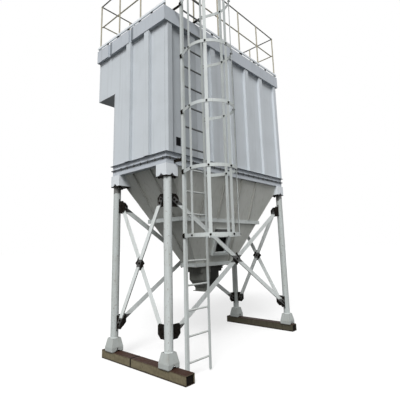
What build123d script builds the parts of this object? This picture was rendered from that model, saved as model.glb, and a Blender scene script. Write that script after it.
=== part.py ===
from build123d import *
import math
import os

# Skid-mounted dust collector, in millimetres: a filter housing over a pyramid hopper, on four
# braced tube legs and two skids, with a caged ladder and a railed roof.
# +X runs along the housing, -Y is the ladder side and +Z is up. Everything is drawn about the
# middle of the four legs, and each piece is moved along Y as it is written, so that the origin
# lies on the ground under the middle of the whole outline.

# Housing of ribbed sheet
HOUSING_LENGTH = 3074
HOUSING_WIDTH = 1224
WALL_HEIGHT = 1959
WALL_SHEET = 6
FOLD_DEPTH = 45
FOLD_FACE = 72
FRONT_FOLDS = 5
FRONT_FOLD_INSET = 607
FRONT_FOLD_SHIFT = -45
END_FOLDS = 2
END_FOLD_INSET = 379.5
CORNER_FACE = 82
PLENUM_HEIGHT = 726
PLENUM_DEPTH = 493

# Ring beam: the hopper's flange bolted up to the flange of the housing
RING_END_MARGIN = 15
RING_SIDE_MARGIN = 33
RING_FOOT = 2664
HOPPER_FLANGE_HEIGHT = 84
HOUSING_FLANGE_HEIGHT = 80
FLANGE_PLATE = 8
FLANGE_LIP = 16
HOPPER_FLANGE_SHELF = 110
HOUSING_FLANGE_SEAT = 52
MITRE_GAP = 1

# Legs and skids
LEG_END_INSET = 76
LEG_SIDE_INSET = 62
LEG_DIAMETER = 112
LEG_WALL = 6
SKID_WIDTH = 148
SKID_HEIGHT = 114
SKID_WALL = 8
SKID_BACK_RUN = 198
LEFT_SKID_FRONT_RUN = 362
RIGHT_SKID_FRONT_RUN = 134

# Shoes round the feet of the legs
SHOE_BASE = 184
SHOE_TOP = 132
SHOE_HEIGHT = 178
SHOE_SKIRT = 60
SHOE_PLATE = 6
SHOE_NOTCH_WIDTH = 124
SHOE_NOTCH_HEIGHT = 66
NOTCH_WAIST = (1 / 6, 0.42)

# Corner caps that join the legs to the ring beam
CAP_WIDTH = 212
CAP_CLEARANCE = 5
CAP_PLATE = 5
CAP_NOTCH_WIDTH = 124
CAP_NOTCH_HEIGHT = 42
CAP_FLANGE = 12

# Bracing
GUSSET_REACH = 200
GUSSET_HEIGHT = 180
GUSSET_PLATE = 10
GUSSET_CLIP = 52
GUSSET_HEEL = 26
LOWER_GUSSET_FOOT = 420
UPPER_GUSSET_DROP = 576
BRACE_WIDTH = 75
BRACE_DEPTH = 50
BRACE_PLATE = 6
BRACE_PIN_REACH = 132
BRACE_PIN_RISE = 96
BRACE_TAIL = 48
CLAMP_DIAGONAL = 200

# Hopper
HOPPER_END_INSET = 102
HOPPER_SIDE_INSET = 45
HOPPER_FOOT_LENGTH = 1000
HOPPER_FOOT_WIDTH = 310
HOPPER_FOOT = 1290
HOPPER_PLATE = 5
STIFFENER_SHARE = 0.466
STIFFENER_HEIGHT = 60
STIFFENER_REACH = 110
STIFFENER_PLATE = 6
STIFFENER_END_STAND_OFF = 40
STIFFENER_SIDE_STAND_OFF = 6
RIB_DEPTH = 26
RIB_PLATE = 6
END_RIB_OFFSET = 200
INNER_SIDE_RIB_OFFSET = 215
OUTER_SIDE_RIB_OFFSET = 650
LOWER_SIDE_RIB_OFFSET = 320
OUTLET_FLANGE_HEIGHT = 56
OUTLET_FLANGE_REACH = 20
OUTLET_FLANGE_SHELF = 25
OUTLET_PLATE = 6

# Framed inlet in the front of the hopper
INLET_CLEAR_WIDTH = 300
INLET_CLEAR_HEIGHT = 345
INLET_FRAME_WIDTH = 50
INLET_FRAME_DEPTH = 50
INLET_SHARE = 0.2414

# Slide gate and discharge chute under the hopper
GATE_CENTRE_X = -120
GATE_LENGTH = 500
GATE_WIDTH = 310
GATE_HEIGHT = 90
GATE_WALL = 10
GATE_BLADE = 8
GATE_STOP_REACH = 36
GATE_STOP_HEIGHT = 52
CHUTE_CENTRE_X = -140
CHUTE_LENGTH = 400
CHUTE_WIDTH = 300
CHUTE_HEIGHT = 120
CHUTE_TAPER_HEIGHT = 132
SPOUT_CENTRE_X = -190
SPOUT_LENGTH = 134
SPOUT_WIDTH = 200
SPOUT_HEIGHT = 48
CHUTE_PLATE = 5
CHUTE_FLANGE_REACH = 26
CHUTE_FLANGE_PLATE = 8

# Fascia and roof
FASCIA_HEIGHT = 229
FASCIA_PLATE = 5
FASCIA_LEG = 110
FASCIA_OVERHANG = 52
FASCIA_FRONT_OVERHANG = 59
FASCIA_BACK_OVERHANG = 14
FASCIA_JOINT = 60
FASCIA_JOINT_RECESS = 24
FASCIA_JOINT_RUNS = (831, 1421)
ROOF_PLATE = 6
ROOF_SETBACK = 80

# Roof railing
POST_DIAMETER = 25
POST_WALL = 3
POST_INSET_X = 39
POST_INSET_Y = 36
FRONT_POST_SPACES = 5
SIDE_POST_SPACES = 3
RAIL_DIAMETER = 22
RAIL_WALL = 2.6
TOP_RAIL_HEIGHT = 914
MID_RAIL_HEIGHT = 504
TOE_RAIL_HEIGHT = 58
TOE_LUG_LENGTH = 44
TOE_LUG_PLATE = 8
FRONT_TOE_LUGS = 6
SIDE_TOE_LUGS = 5

# Ladder
LADDER_INSET = 137
LADDER_WIDTH = 440
LADDER_STAND_OFF = 180
STILE_LEG = 40
STILE_PLATE = 5
LADDER_FOOT = 20
LADDER_RISE = 1034
RUNG_DIAMETER = 24
RUNG_PITCH = 300
FIRST_RUNG_HEIGHT = 175
RUNG_SETBACK = 22
BRACKET_HEIGHT = 42
BRACKET_PLATE = 8
LOW_BRACKET_RISE = 20
TOP_BRACKET_LAP = 34

# Safety cage
CAGE_RADIUS = 320
CAGE_REACH = 305
HOOP_PAIRS = 3
FIRST_HOOP_HEIGHT = 1690
TOP_HOOP_DROP = 160
HOOP_BAND = 45
HOOP_PLATE = 5
HOOP_TAB = 30
STRAP_ANGLES = (163, 212, 266, 316, 363)

# Small plate on the front wall
PLATE_WIDTH = 88
PLATE_HEIGHT = 124
PLATE_THICKNESS = 3
PLATE_GAP = 31
PLATE_RISE = 125

# Places worked out from the sizes
WALL_X = HOUSING_LENGTH / 2
WALL_Y = HOUSING_WIDTH / 2
RING_X = WALL_X + RING_END_MARGIN
RING_Y = WALL_Y + RING_SIDE_MARGIN
RING_JOINT = RING_FOOT + HOPPER_FLANGE_HEIGHT
WALL_FOOT = RING_JOINT + HOUSING_FLANGE_HEIGHT
WALL_TOP = WALL_FOOT + WALL_HEIGHT
PLENUM_FOOT = WALL_TOP - PLENUM_HEIGHT
PLENUM_BACK = WALL_Y + PLENUM_DEPTH
ROOF_EDGE = WALL_TOP + FASCIA_HEIGHT
FASCIA_X = WALL_X + FASCIA_OVERHANG
FASCIA_FRONT = -WALL_Y - FASCIA_FRONT_OVERHANG
FASCIA_BACK = PLENUM_BACK + FASCIA_BACK_OVERHANG

HOPPER_TOP_X = RING_X - HOPPER_END_INSET
HOPPER_TOP_Y = RING_Y - HOPPER_SIDE_INSET
HOPPER_FOOT_X = HOPPER_FOOT_LENGTH / 2
HOPPER_FOOT_Y = HOPPER_FOOT_WIDTH / 2
HOPPER_RISE = RING_FOOT - HOPPER_FOOT
END_SLOPE = (HOPPER_TOP_X - HOPPER_FOOT_X) / HOPPER_RISE
SIDE_SLOPE = (HOPPER_TOP_Y - HOPPER_FOOT_Y) / HOPPER_RISE
STIFFENER_FOOT = HOPPER_FOOT + STIFFENER_SHARE * HOPPER_RISE
STIFFENER_TOP = STIFFENER_FOOT + STIFFENER_HEIGHT
INLET_CENTRE_Z = HOPPER_FOOT + INLET_SHARE * HOPPER_RISE
OUTLET_FLANGE_FOOT = HOPPER_FOOT - OUTLET_FLANGE_HEIGHT
OUTLET_X = HOPPER_FOOT_X + OUTLET_FLANGE_REACH
OUTLET_Y = HOPPER_FOOT_Y + OUTLET_FLANGE_REACH
GATE_TOP = OUTLET_FLANGE_FOOT - OUTLET_PLATE
GATE_FOOT = GATE_TOP - GATE_HEIGHT
CHUTE_FOOT = GATE_FOOT - CHUTE_HEIGHT
SPOUT_TOP = CHUTE_FOOT - CHUTE_TAPER_HEIGHT
SPOUT_FOOT = SPOUT_TOP - SPOUT_HEIGHT

# The corner caps reach down to where the hopper's end slope clears their inner sides
CAP_HEIGHT = (CAP_WIDTH - HOPPER_END_INSET) / END_SLOPE + CAP_CLEARANCE
CAP_FOOT = RING_FOOT - CAP_HEIGHT
LEG_X = RING_X - LEG_END_INSET
LEG_Y = RING_Y - LEG_SIDE_INSET
LEG_RADIUS = LEG_DIAMETER / 2
LEG_TOP = CAP_FOOT - CAP_FLANGE
UPPER_GUSSET_FOOT = RING_FOOT - UPPER_GUSSET_DROP

LADDER_LEFT_X = -WALL_X + LADDER_INSET
LADDER_RIGHT_X = LADDER_LEFT_X + LADDER_WIDTH
LADDER_FRONT_Y = -RING_Y - LADDER_STAND_OFF
LADDER_BACK_Y = LADDER_FRONT_Y + STILE_LEG
LADDER_TOP = ROOF_EDGE + LADDER_RISE
RUNGS = int((LADDER_TOP - FIRST_RUNG_HEIGHT) / RUNG_PITCH) + 1
CAGE_CENTRE_X = LADDER_LEFT_X + LADDER_WIDTH / 2
CAGE_CENTRE_Y = LADDER_FRONT_Y - CAGE_REACH
TOP_HOOP_HEIGHT = LADDER_TOP - TOP_HOOP_DROP
HOOP_PITCH = (TOP_HOOP_HEIGHT - FIRST_HOOP_HEIGHT) / (2 * HOOP_PAIRS - 1)
CAGE_TOP = TOP_HOOP_HEIGHT + HOOP_BAND / 2
CAGE_FRONT = CAGE_CENTRE_Y - CAGE_RADIUS - HOOP_PLATE
ORIGIN_SHIFT = -(CAGE_FRONT + FASCIA_BACK) / 2


def save(name, solids):
    """Write one node, moved so that the origin lies under the middle of the outline."""
    placed = [Pos(0, ORIGIN_SHIFT, 0) * solid for solid in solids]
    node = placed[0] if len(placed) == 1 else Compound(children=placed)
    node.label = name
    export_step(node, f"parts/{name}.step")


def block(x_limits, y_limits, z_limits):
    """A rectangular block between its limits on each axis."""
    x_low, x_high = sorted(x_limits)
    y_low, y_high = sorted(y_limits)
    z_low, z_high = sorted(z_limits)
    size = Box(x_high - x_low, y_high - y_low, z_high - z_low)
    return Pos((x_low + x_high) / 2, (y_low + y_high) / 2, (z_low + z_high) / 2) * size


def outline(points):
    """A flat face inside a closed run of straight lines."""
    return make_face(Polyline(*points, close=True))


def bar(start, end, profile, across):
    """A profile extruded from start to end, with its local X axis along across."""
    run = Vector(*end) - Vector(*start)
    plane = Plane(origin=start, x_dir=across, z_dir=run)
    return extrude(plane * profile, amount=run.length)


def tube_profile(diameter, wall):
    """The ring-shaped section of a round tube."""
    return Circle(diameter / 2) - Circle(diameter / 2 - wall)


def frustum(bottom, top):
    """A solid lofted between two rectangles, each given as centre x, length, width, height."""
    sections = []
    for centre_x, length, width, height in (bottom, top):
        sections.append(Pos(centre_x, 0, height) * Rectangle(length, width))
    return loft(sections)


def four_corners():
    """The signs of X and Y at the four corners."""
    return [(sx, sy) for sx in (-1, 1) for sy in (-1, 1)]


# Skids, legs and shoes

def skid(side, front_run):
    """One open-ended box-section skid under the two legs of a side."""
    front = -LEG_Y - front_run
    length = LEG_Y + SKID_BACK_RUN - front
    section = Rectangle(SKID_WIDTH, SKID_HEIGHT)
    section -= Rectangle(SKID_WIDTH - 2 * SKID_WALL, SKID_HEIGHT - 2 * SKID_WALL)
    plane = Plane(origin=(side * LEG_X, front, SKID_HEIGHT / 2), x_dir=(1, 0, 0), z_dir=(0, 1, 0))
    return extrude(plane * section, amount=length)


def leg(side, end):
    """One round tube leg, from the skid up to the flange of its corner cap."""
    section = tube_profile(LEG_DIAMETER, LEG_WALL)
    return Pos(side * LEG_X, end * LEG_Y, SKID_HEIGHT) * extrude(section, amount=LEG_TOP - SKID_HEIGHT)


def arch(width, height):
    """A pointed arch with hollow sides, standing on the X axis."""
    left = (-width / 2, 0)
    right = (width / 2, 0)
    crown = (0, height)
    waist_x, waist_z = NOTCH_WAIST
    edges = [
        Line(left, right),
        ThreePointArc(right, (width * waist_x, height * waist_z), crown),
        ThreePointArc(crown, (-width * waist_x, height * waist_z), left),
    ]
    return make_face(edges)


def shoe_form(inset):
    """A shoe's form, an upright skirt under a taper, outside or inset by the plate."""
    base = SHOE_BASE - 2 * inset
    top = SHOE_TOP - 2 * inset
    skirt = Pos(0, 0, SKID_HEIGHT) * extrude(Rectangle(base, base), amount=SHOE_SKIRT)
    shoulder = SKID_HEIGHT + SHOE_SKIRT
    return skirt + frustum((0, base, base, shoulder), (0, top, top, SKID_HEIGHT + SHOE_HEIGHT))


def shoe(side, end):
    """A flared square shoe of plate round the foot of a leg, arched at its two ends."""
    plane = Plane(origin=(0, 0, SKID_HEIGHT), x_dir=(1, 0, 0), z_dir=(0, -1, 0))
    ends = extrude(plane * arch(SHOE_NOTCH_WIDTH, SHOE_NOTCH_HEIGHT), amount=SHOE_BASE, both=True)
    return Pos(side * LEG_X, end * LEG_Y, 0) * (shoe_form(0) - shoe_form(SHOE_PLATE) - ends)


# Hopper envelope, used to trim what is fitted round it

def hopper_envelope(inset=0):
    """The hopper's outer form as one solid, or the same form inset by a plate's thickness."""
    return frustum(
        (0, 2 * (HOPPER_FOOT_X - inset), 2 * (HOPPER_FOOT_Y - inset), HOPPER_FOOT),
        (0, 2 * (HOPPER_TOP_X - inset), 2 * (HOPPER_TOP_Y - inset), RING_FOOT),
    )


def hopper_half_x(height):
    """Half the hopper's outer length at a height."""
    return HOPPER_FOOT_X + END_SLOPE * (height - HOPPER_FOOT)


def hopper_half_y(height):
    """Half the hopper's outer width at a height."""
    return HOPPER_FOOT_Y + SIDE_SLOPE * (height - HOPPER_FOOT)


# Corner caps

def cap_centre(side, end):
    """The middle of a corner cap in plan, flush with the ring beam's outer edges."""
    return side * (RING_X - CAP_WIDTH / 2), end * (RING_Y - CAP_WIDTH / 2)


def leg_cap(side, end, envelope):
    """A square box of plate over a leg, trimmed to the hopper and arched at its outer feet."""
    x, y = cap_centre(side, end)
    inside = CAP_WIDTH - 2 * CAP_PLATE
    section = Rectangle(CAP_WIDTH, CAP_WIDTH) - Rectangle(inside, inside)
    box = Pos(x, y, CAP_FOOT) * extrude(section, amount=CAP_HEIGHT)
    notch = arch(CAP_NOTCH_WIDTH, CAP_NOTCH_HEIGHT)
    outer_x = Plane(origin=(side * RING_X, y, CAP_FOOT), x_dir=(0, 1, 0), z_dir=(1, 0, 0))
    outer_y = Plane(origin=(x, end * RING_Y, CAP_FOOT), x_dir=(1, 0, 0), z_dir=(0, -1, 0))
    for plane in (outer_x, outer_y):
        box -= extrude(plane * notch, amount=2 * CAP_PLATE, both=True)
    return box - envelope


def cap_flange(side, end):
    """The square flange on top of a leg."""
    x, y = cap_centre(side, end)
    return Pos(x, y, LEG_TOP + CAP_FLANGE / 2) * Box(CAP_WIDTH, CAP_WIDTH, CAP_FLANGE)


# Bracing

def gusset_outline(upper):
    """A gusset in its own plane: X runs away from the leg's axis and Y runs up."""
    low_reach = GUSSET_REACH - GUSSET_CLIP
    high_reach = GUSSET_REACH - GUSSET_HEEL
    points = [
        (0, 0),
        (low_reach, 0),
        (GUSSET_REACH, GUSSET_CLIP),
        (GUSSET_REACH, GUSSET_HEIGHT - GUSSET_HEEL),
        (high_reach, GUSSET_HEIGHT),
        (0, GUSSET_HEIGHT),
    ]
    if upper:
        points = [(reach, GUSSET_HEIGHT - rise) for reach, rise in points]
    return outline(points)


def gussets(foot, upper):
    """The two gussets of each leg at one level, welded to the tube along X and along Y."""
    plates = []
    for side, end in four_corners():
        tube = Pos(side * LEG_X, end * LEG_Y, foot) * Cylinder(LEG_RADIUS, 4 * GUSSET_HEIGHT)
        for across in ((-side, 0, 0), (0, -end, 0)):
            facing = Vector(*across).cross(Vector(0, 0, 1))
            plane = Plane(origin=(side * LEG_X, end * LEG_Y, foot), x_dir=across, z_dir=facing)
            plate = extrude(plane * gusset_outline(upper), amount=GUSSET_PLATE / 2, both=True)
            plates.append(plate - tube)
    return plates


def brace_pair(axis, sign):
    """The two crossed angle bars of one side, on opposite faces of its gussets."""
    half_span = (LEG_X if axis == "x" else LEG_Y) - BRACE_PIN_REACH
    offset = LEG_Y if axis == "x" else LEG_X
    low = LOWER_GUSSET_FOOT + BRACE_PIN_RISE
    high = UPPER_GUSSET_FOOT + GUSSET_HEIGHT - BRACE_PIN_RISE
    along = Vector(1, 0, 0) if axis == "x" else Vector(0, 1, 0)
    outward = Vector(0, sign, 0) if axis == "x" else Vector(sign, 0, 0)
    bars = []
    for lean, facing in ((-sign, -1), (sign, 1)):
        start = along * (-lean * half_span) + Vector(0, 0, low)
        end = along * (lean * half_span) + Vector(0, 0, high)
        run = (end - start).normalized()
        start -= run * BRACE_TAIL
        end += run * BRACE_TAIL
        face = outward * (offset + facing * GUSSET_PLATE / 2)
        across = run.cross(outward).normalized()
        if across.Z > 0:
            across = across * -1
        bars.append(brace_bar(face + start, face + end, across, outward * facing))
    return bars


def brace_bar(start, end, across, outward):
    """An angle bar with its flat leg on a face and its other leg standing out at the lower edge."""
    half = BRACE_WIDTH / 2
    run = (end - start).normalized()
    turn = run.cross(across).dot(outward)
    points = [
        (-half, 0),
        (half, 0),
        (half, turn * BRACE_DEPTH),
        (half - BRACE_PLATE, turn * BRACE_DEPTH),
        (half - BRACE_PLATE, turn * BRACE_PLATE),
        (-half, turn * BRACE_PLATE),
    ]
    plane = Plane(origin=start, x_dir=across, z_dir=run)
    return extrude(plane * outline(points), amount=(end - start).length)


def brace_clamps():
    """A diamond packing plate between the two bars wherever they cross."""
    middle = (LOWER_GUSSET_FOOT + UPPER_GUSSET_FOOT + GUSSET_HEIGHT) / 2
    half = CLAMP_DIAGONAL / 2
    diamond = outline([(-half, 0), (0, -half), (half, 0), (0, half)])
    plates = []
    for sign in (-1, 1):
        long_plane = Plane(origin=(0, sign * LEG_Y, middle), x_dir=(1, 0, 0), z_dir=(0, 1, 0))
        short_plane = Plane(origin=(sign * LEG_X, 0, middle), x_dir=(0, 1, 0), z_dir=(1, 0, 0))
        for plane in (long_plane, short_plane):
            plates.append(extrude(plane * diamond, amount=GUSSET_PLATE / 2, both=True))
    return plates


# Mitred frames

def mitred_frame(half_x, half_y, points, centre_y=0):
    """Four bars of one section round a rectangle, mitred with a small gap at the corners.

    The section's points are (depth inwards from the outer edge, height)."""
    reach = max(depth for depth, height in points)
    bottom = min(height for depth, height in points)
    top = max(height for depth, height in points)
    bars = []
    for sign in (-1, 1):
        long_section = outline([(sign * (half_y - depth), height) for depth, height in points])
        long_plane = Plane(origin=(-half_x, 0, 0), x_dir=(0, 1, 0), z_dir=(1, 0, 0))
        long_bar = extrude(long_plane * long_section, amount=2 * half_x)
        long_plan = [
            (-half_x + MITRE_GAP, sign * half_y),
            (half_x - MITRE_GAP, sign * half_y),
            (half_x - MITRE_GAP - reach, sign * (half_y - reach)),
            (-half_x + MITRE_GAP + reach, sign * (half_y - reach)),
        ]
        bars.append(long_bar & prism(long_plan, bottom, top))
        short_section = outline([(sign * (half_x - depth), height) for depth, height in points])
        short_plane = Plane(origin=(0, half_y, 0), x_dir=(1, 0, 0), z_dir=(0, -1, 0))
        short_bar = extrude(short_plane * short_section, amount=2 * half_y)
        short_plan = [
            (sign * half_x, -half_y + MITRE_GAP),
            (sign * half_x, half_y - MITRE_GAP),
            (sign * (half_x - reach), half_y - MITRE_GAP - reach),
            (sign * (half_x - reach), -half_y + MITRE_GAP + reach),
        ]
        bars.append(short_bar & prism(short_plan, bottom, top))
    return [Pos(0, centre_y, 0) * piece for piece in bars]


def prism(plan, bottom, top):
    """A solid with the given plan between two heights."""
    return Pos(0, 0, bottom) * extrude(outline(plan), amount=top - bottom)


def hopper_flange():
    """The Z-section flange that the hopper hangs from, open to bolts along its outer lip."""
    web = FLANGE_LIP + FLANGE_PLATE
    points = [
        (0, RING_JOINT - FLANGE_PLATE),
        (FLANGE_LIP, RING_JOINT - FLANGE_PLATE),
        (FLANGE_LIP, RING_FOOT),
        (HOPPER_FLANGE_SHELF, RING_FOOT),
        (HOPPER_FLANGE_SHELF, RING_FOOT + FLANGE_PLATE),
        (web, RING_FOOT + FLANGE_PLATE),
        (web, RING_JOINT),
        (0, RING_JOINT),
    ]
    return mitred_frame(RING_X, RING_Y, points)


def housing_flange():
    """The channel under the housing's walls, open outwards, with a wide seat on top."""
    web = FLANGE_LIP + FLANGE_PLATE
    points = [
        (0, RING_JOINT),
        (web, RING_JOINT),
        (web, WALL_FOOT - FLANGE_PLATE),
        (HOUSING_FLANGE_SEAT, WALL_FOOT - FLANGE_PLATE),
        (HOUSING_FLANGE_SEAT, WALL_FOOT),
        (0, WALL_FOOT),
        (0, WALL_FOOT - FLANGE_PLATE),
        (FLANGE_LIP, WALL_FOOT - FLANGE_PLATE),
        (FLANGE_LIP, RING_JOINT + FLANGE_PLATE),
        (0, RING_JOINT + FLANGE_PLATE),
    ]
    return mitred_frame(RING_X, RING_Y, points)


# Hopper

def hopper_plates():
    """The hopper's four sloping plates, as (front, back, left, right)."""
    shell = hopper_envelope() - hopper_envelope(HOPPER_PLATE)
    reach = 2 * HOPPER_TOP_X
    seam_x = HOPPER_TOP_X - HOPPER_PLATE
    foot_x = HOPPER_FOOT_X - HOPPER_PLATE
    core_bottom = Pos(0, 0, HOPPER_FOOT) * Rectangle(2 * foot_x, reach)
    core_top = Pos(0, 0, RING_FOOT) * Rectangle(2 * seam_x, reach)
    between_ends = loft([core_bottom, core_top])
    sides = shell & between_ends
    ends = shell - between_ends
    front, back = sorted(sides.solids(), key=lambda solid: solid.center().Y)
    left, right = sorted(ends.solids(), key=lambda solid: solid.center().X)
    return front, back, left, right


def front_plane(height):
    """A plane on the outside of the hopper's front plate, facing out, at a height."""
    slope = Vector(0, -SIDE_SLOPE, 1).normalized()
    across = Vector(1, 0, 0)
    origin = (0, -hopper_half_y(height), height)
    return Plane(origin=origin, x_dir=across, z_dir=across.cross(slope))


def inlet_frame():
    """The square collar that stands out from the front of the hopper round its inlet."""
    outer_width = INLET_CLEAR_WIDTH + 2 * INLET_FRAME_WIDTH
    outer_height = INLET_CLEAR_HEIGHT + 2 * INLET_FRAME_WIDTH
    section = Rectangle(outer_width, outer_height) - Rectangle(INLET_CLEAR_WIDTH, INLET_CLEAR_HEIGHT)
    return extrude(front_plane(INLET_CENTRE_Z) * section, amount=INLET_FRAME_DEPTH)


def inlet_cut():
    """What is cut out of the front plate behind the inlet's collar."""
    opening = Rectangle(INLET_CLEAR_WIDTH, INLET_CLEAR_HEIGHT)
    return extrude(front_plane(INLET_CENTRE_Z) * opening, amount=4 * HOPPER_PLATE, both=True)


def hopper_stiffener(envelope):
    """The angle frame round the middle of the hopper, its shelf trimmed to the plates."""
    half_x = hopper_half_x(STIFFENER_TOP) + STIFFENER_END_STAND_OFF
    half_y = hopper_half_y(STIFFENER_TOP) + STIFFENER_SIDE_STAND_OFF
    points = [
        (0, STIFFENER_FOOT),
        (STIFFENER_REACH, STIFFENER_FOOT),
        (STIFFENER_REACH, STIFFENER_FOOT + STIFFENER_PLATE),
        (STIFFENER_PLATE, STIFFENER_FOOT + STIFFENER_PLATE),
        (STIFFENER_PLATE, STIFFENER_TOP),
        (0, STIFFENER_TOP),
    ]
    return [piece - envelope for piece in mitred_frame(half_x, half_y, points)]


def rib(half_at, slope, foot, top):
    """A rib's outline in a vertical plane: X away from the hopper's middle, Y up."""
    lean = math.hypot(1, slope)
    out = RIB_DEPTH / lean
    drop = RIB_DEPTH * slope / lean
    return outline([
        (half_at(foot), foot),
        (half_at(top), top),
        (half_at(top) + out, top - drop),
        (half_at(foot + drop) + out, foot),
    ])


def hopper_ribs():
    """The flat bars on edge that stand on the hopper's four plates."""
    upper = (STIFFENER_TOP, RING_FOOT)
    lower = (HOPPER_FOOT, STIFFENER_FOOT)
    side_ribs = [(offset, upper) for offset in (INNER_SIDE_RIB_OFFSET, OUTER_SIDE_RIB_OFFSET)]
    side_ribs.append((LOWER_SIDE_RIB_OFFSET, lower))
    bars = []
    for sign in (-1, 1):
        for offset, (foot, top) in side_ribs:
            profile = rib(hopper_half_y, SIDE_SLOPE, foot, top)
            for x in (-offset, offset):
                plane = Plane(origin=(x, 0, 0), x_dir=(0, sign, 0), z_dir=(sign, 0, 0))
                bars.append(extrude(plane * profile, amount=RIB_PLATE / 2, both=True))
        for y, (foot, top) in ((-END_RIB_OFFSET, upper), (END_RIB_OFFSET, upper), (0, lower)):
            profile = rib(hopper_half_x, END_SLOPE, foot, top)
            plane = Plane(origin=(0, y, 0), x_dir=(sign, 0, 0), z_dir=(0, -sign, 0))
            bars.append(extrude(plane * profile, amount=RIB_PLATE / 2, both=True))
    return bars


def outlet_flange():
    """The angle frame round the foot of the hopper."""
    points = [
        (0, OUTLET_FLANGE_FOOT),
        (STIFFENER_PLATE, OUTLET_FLANGE_FOOT),
        (STIFFENER_PLATE, HOPPER_FOOT - STIFFENER_PLATE),
        (OUTLET_FLANGE_SHELF, HOPPER_FOOT - STIFFENER_PLATE),
        (OUTLET_FLANGE_SHELF, HOPPER_FOOT),
        (0, HOPPER_FOOT),
    ]
    return mitred_frame(OUTLET_X, OUTLET_Y, points)


def gate_opening():
    """The way through the gate's frame, in plan."""
    return Rectangle(GATE_LENGTH - 2 * GATE_WALL, GATE_WIDTH - 2 * GATE_WALL)


def outlet_plate():
    """The plate that closes the foot of the hopper, open over the slide gate."""
    plate = Rectangle(2 * OUTLET_X, 2 * OUTLET_Y) - Pos(GATE_CENTRE_X, 0) * gate_opening()
    return Pos(0, 0, GATE_TOP) * extrude(plate, amount=OUTLET_PLATE)


def slide_gate():
    """The gate's frame with its blade shut in it, and the stop that the blade slides up to."""
    frame = Rectangle(GATE_LENGTH, GATE_WIDTH) - gate_opening()
    body = Pos(GATE_CENTRE_X, 0, GATE_FOOT) * extrude(frame, amount=GATE_HEIGHT)
    blade_z = GATE_FOOT + GATE_HEIGHT / 2
    body += Pos(GATE_CENTRE_X, 0, blade_z) * Box(GATE_LENGTH, GATE_WIDTH, GATE_BLADE)
    stop_x = GATE_CENTRE_X + GATE_LENGTH / 2
    stop = block(
        (stop_x, stop_x + GATE_STOP_REACH),
        (-GATE_WIDTH / 2, -GATE_WIDTH / 2 + GATE_STOP_REACH),
        (GATE_TOP - GATE_STOP_HEIGHT, GATE_TOP),
    )
    return body + stop


def chute_form(inset, overrun):
    """The discharge chute's form, outside, or inset by a plate and run on past both ends."""
    cut = 2 * inset
    upper_length = CHUTE_LENGTH - cut
    upper_width = CHUTE_WIDTH - cut
    spout_length = SPOUT_LENGTH - cut
    spout_width = SPOUT_WIDTH - cut
    box = Pos(CHUTE_CENTRE_X, 0, CHUTE_FOOT) * extrude(
        Rectangle(upper_length, upper_width), amount=CHUTE_HEIGHT + overrun
    )
    taper = frustum(
        (SPOUT_CENTRE_X, spout_length, spout_width, SPOUT_TOP),
        (CHUTE_CENTRE_X, upper_length, upper_width, CHUTE_FOOT),
    )
    spout = Pos(SPOUT_CENTRE_X, 0, SPOUT_TOP) * extrude(
        Rectangle(spout_length, spout_width), amount=-SPOUT_HEIGHT - overrun
    )
    return box + taper + spout


def discharge_chute():
    """The chute under the gate: a box, a one-sided taper and a short flanged spout."""
    form = chute_form(0, 0)
    flange = Rectangle(SPOUT_LENGTH + 2 * CHUTE_FLANGE_REACH, SPOUT_WIDTH + 2 * CHUTE_FLANGE_REACH)
    form += Pos(SPOUT_CENTRE_X, 0, SPOUT_FOOT) * extrude(flange, amount=CHUTE_FLANGE_PLATE)
    return form - chute_form(CHUTE_PLATE, CHUTE_PLATE)


# Housing walls

def folded_sheet(length, centres, start_face):
    """A folded sheet's section: X along the wall, Y outwards from its recessed plane.

    Each fold is a hat rib with sloping sides; a corner face closes both ends where it is given."""
    half = length / 2
    base = FOLD_FACE / 2 + FOLD_DEPTH
    outer = [(-half, 0)]
    if start_face:
        outer += [
            (-half + FOLD_DEPTH, FOLD_DEPTH),
            (-half + FOLD_DEPTH + CORNER_FACE, FOLD_DEPTH),
            (-half + 2 * FOLD_DEPTH + CORNER_FACE, 0),
        ]
    for centre in centres:
        outer += [
            (centre - base, 0),
            (centre - FOLD_FACE / 2, FOLD_DEPTH),
            (centre + FOLD_FACE / 2, FOLD_DEPTH),
            (centre + base, 0),
        ]
    if start_face:
        outer += [
            (half - 2 * FOLD_DEPTH - CORNER_FACE, 0),
            (half - FOLD_DEPTH - CORNER_FACE, FOLD_DEPTH),
            (half - FOLD_DEPTH, FOLD_DEPTH),
        ]
    outer.append((half, 0))
    inner = [(along, out - WALL_SHEET) for along, out in reversed(outer)]
    return outline(outer + inner)


def fold_centres(count, half_length, inset, shift=0):
    """Evenly pitched ribs, the outermost two an inset from the ends of a wall."""
    first = inset - half_length
    pitch = -2 * first / (count - 1)
    return [first + index * pitch + shift for index in range(count)]


def long_wall(sign, height):
    """The front (-1) or back (+1) wall of folded sheet, standing on the housing's flange."""
    centres = fold_centres(FRONT_FOLDS, WALL_X, FRONT_FOLD_INSET, sign * FRONT_FOLD_SHIFT)
    profile = folded_sheet(HOUSING_LENGTH, centres, True)
    facing = Plane(origin=(0, sign * WALL_Y, WALL_FOOT), x_dir=(sign, 0, 0), z_dir=(0, 0, 1))
    return extrude(facing * profile, amount=height)


def end_wall(sign):
    """The left (-1) or right (+1) wall of folded sheet, between the two long walls."""
    centres = fold_centres(END_FOLDS, WALL_Y, END_FOLD_INSET)
    profile = folded_sheet(HOUSING_WIDTH - 2 * WALL_SHEET, centres, False)
    facing = Plane(origin=(sign * WALL_X, 0, WALL_FOOT), x_dir=(0, -sign, 0), z_dir=(0, 0, 1))
    return extrude(facing * profile, amount=WALL_HEIGHT)


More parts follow.
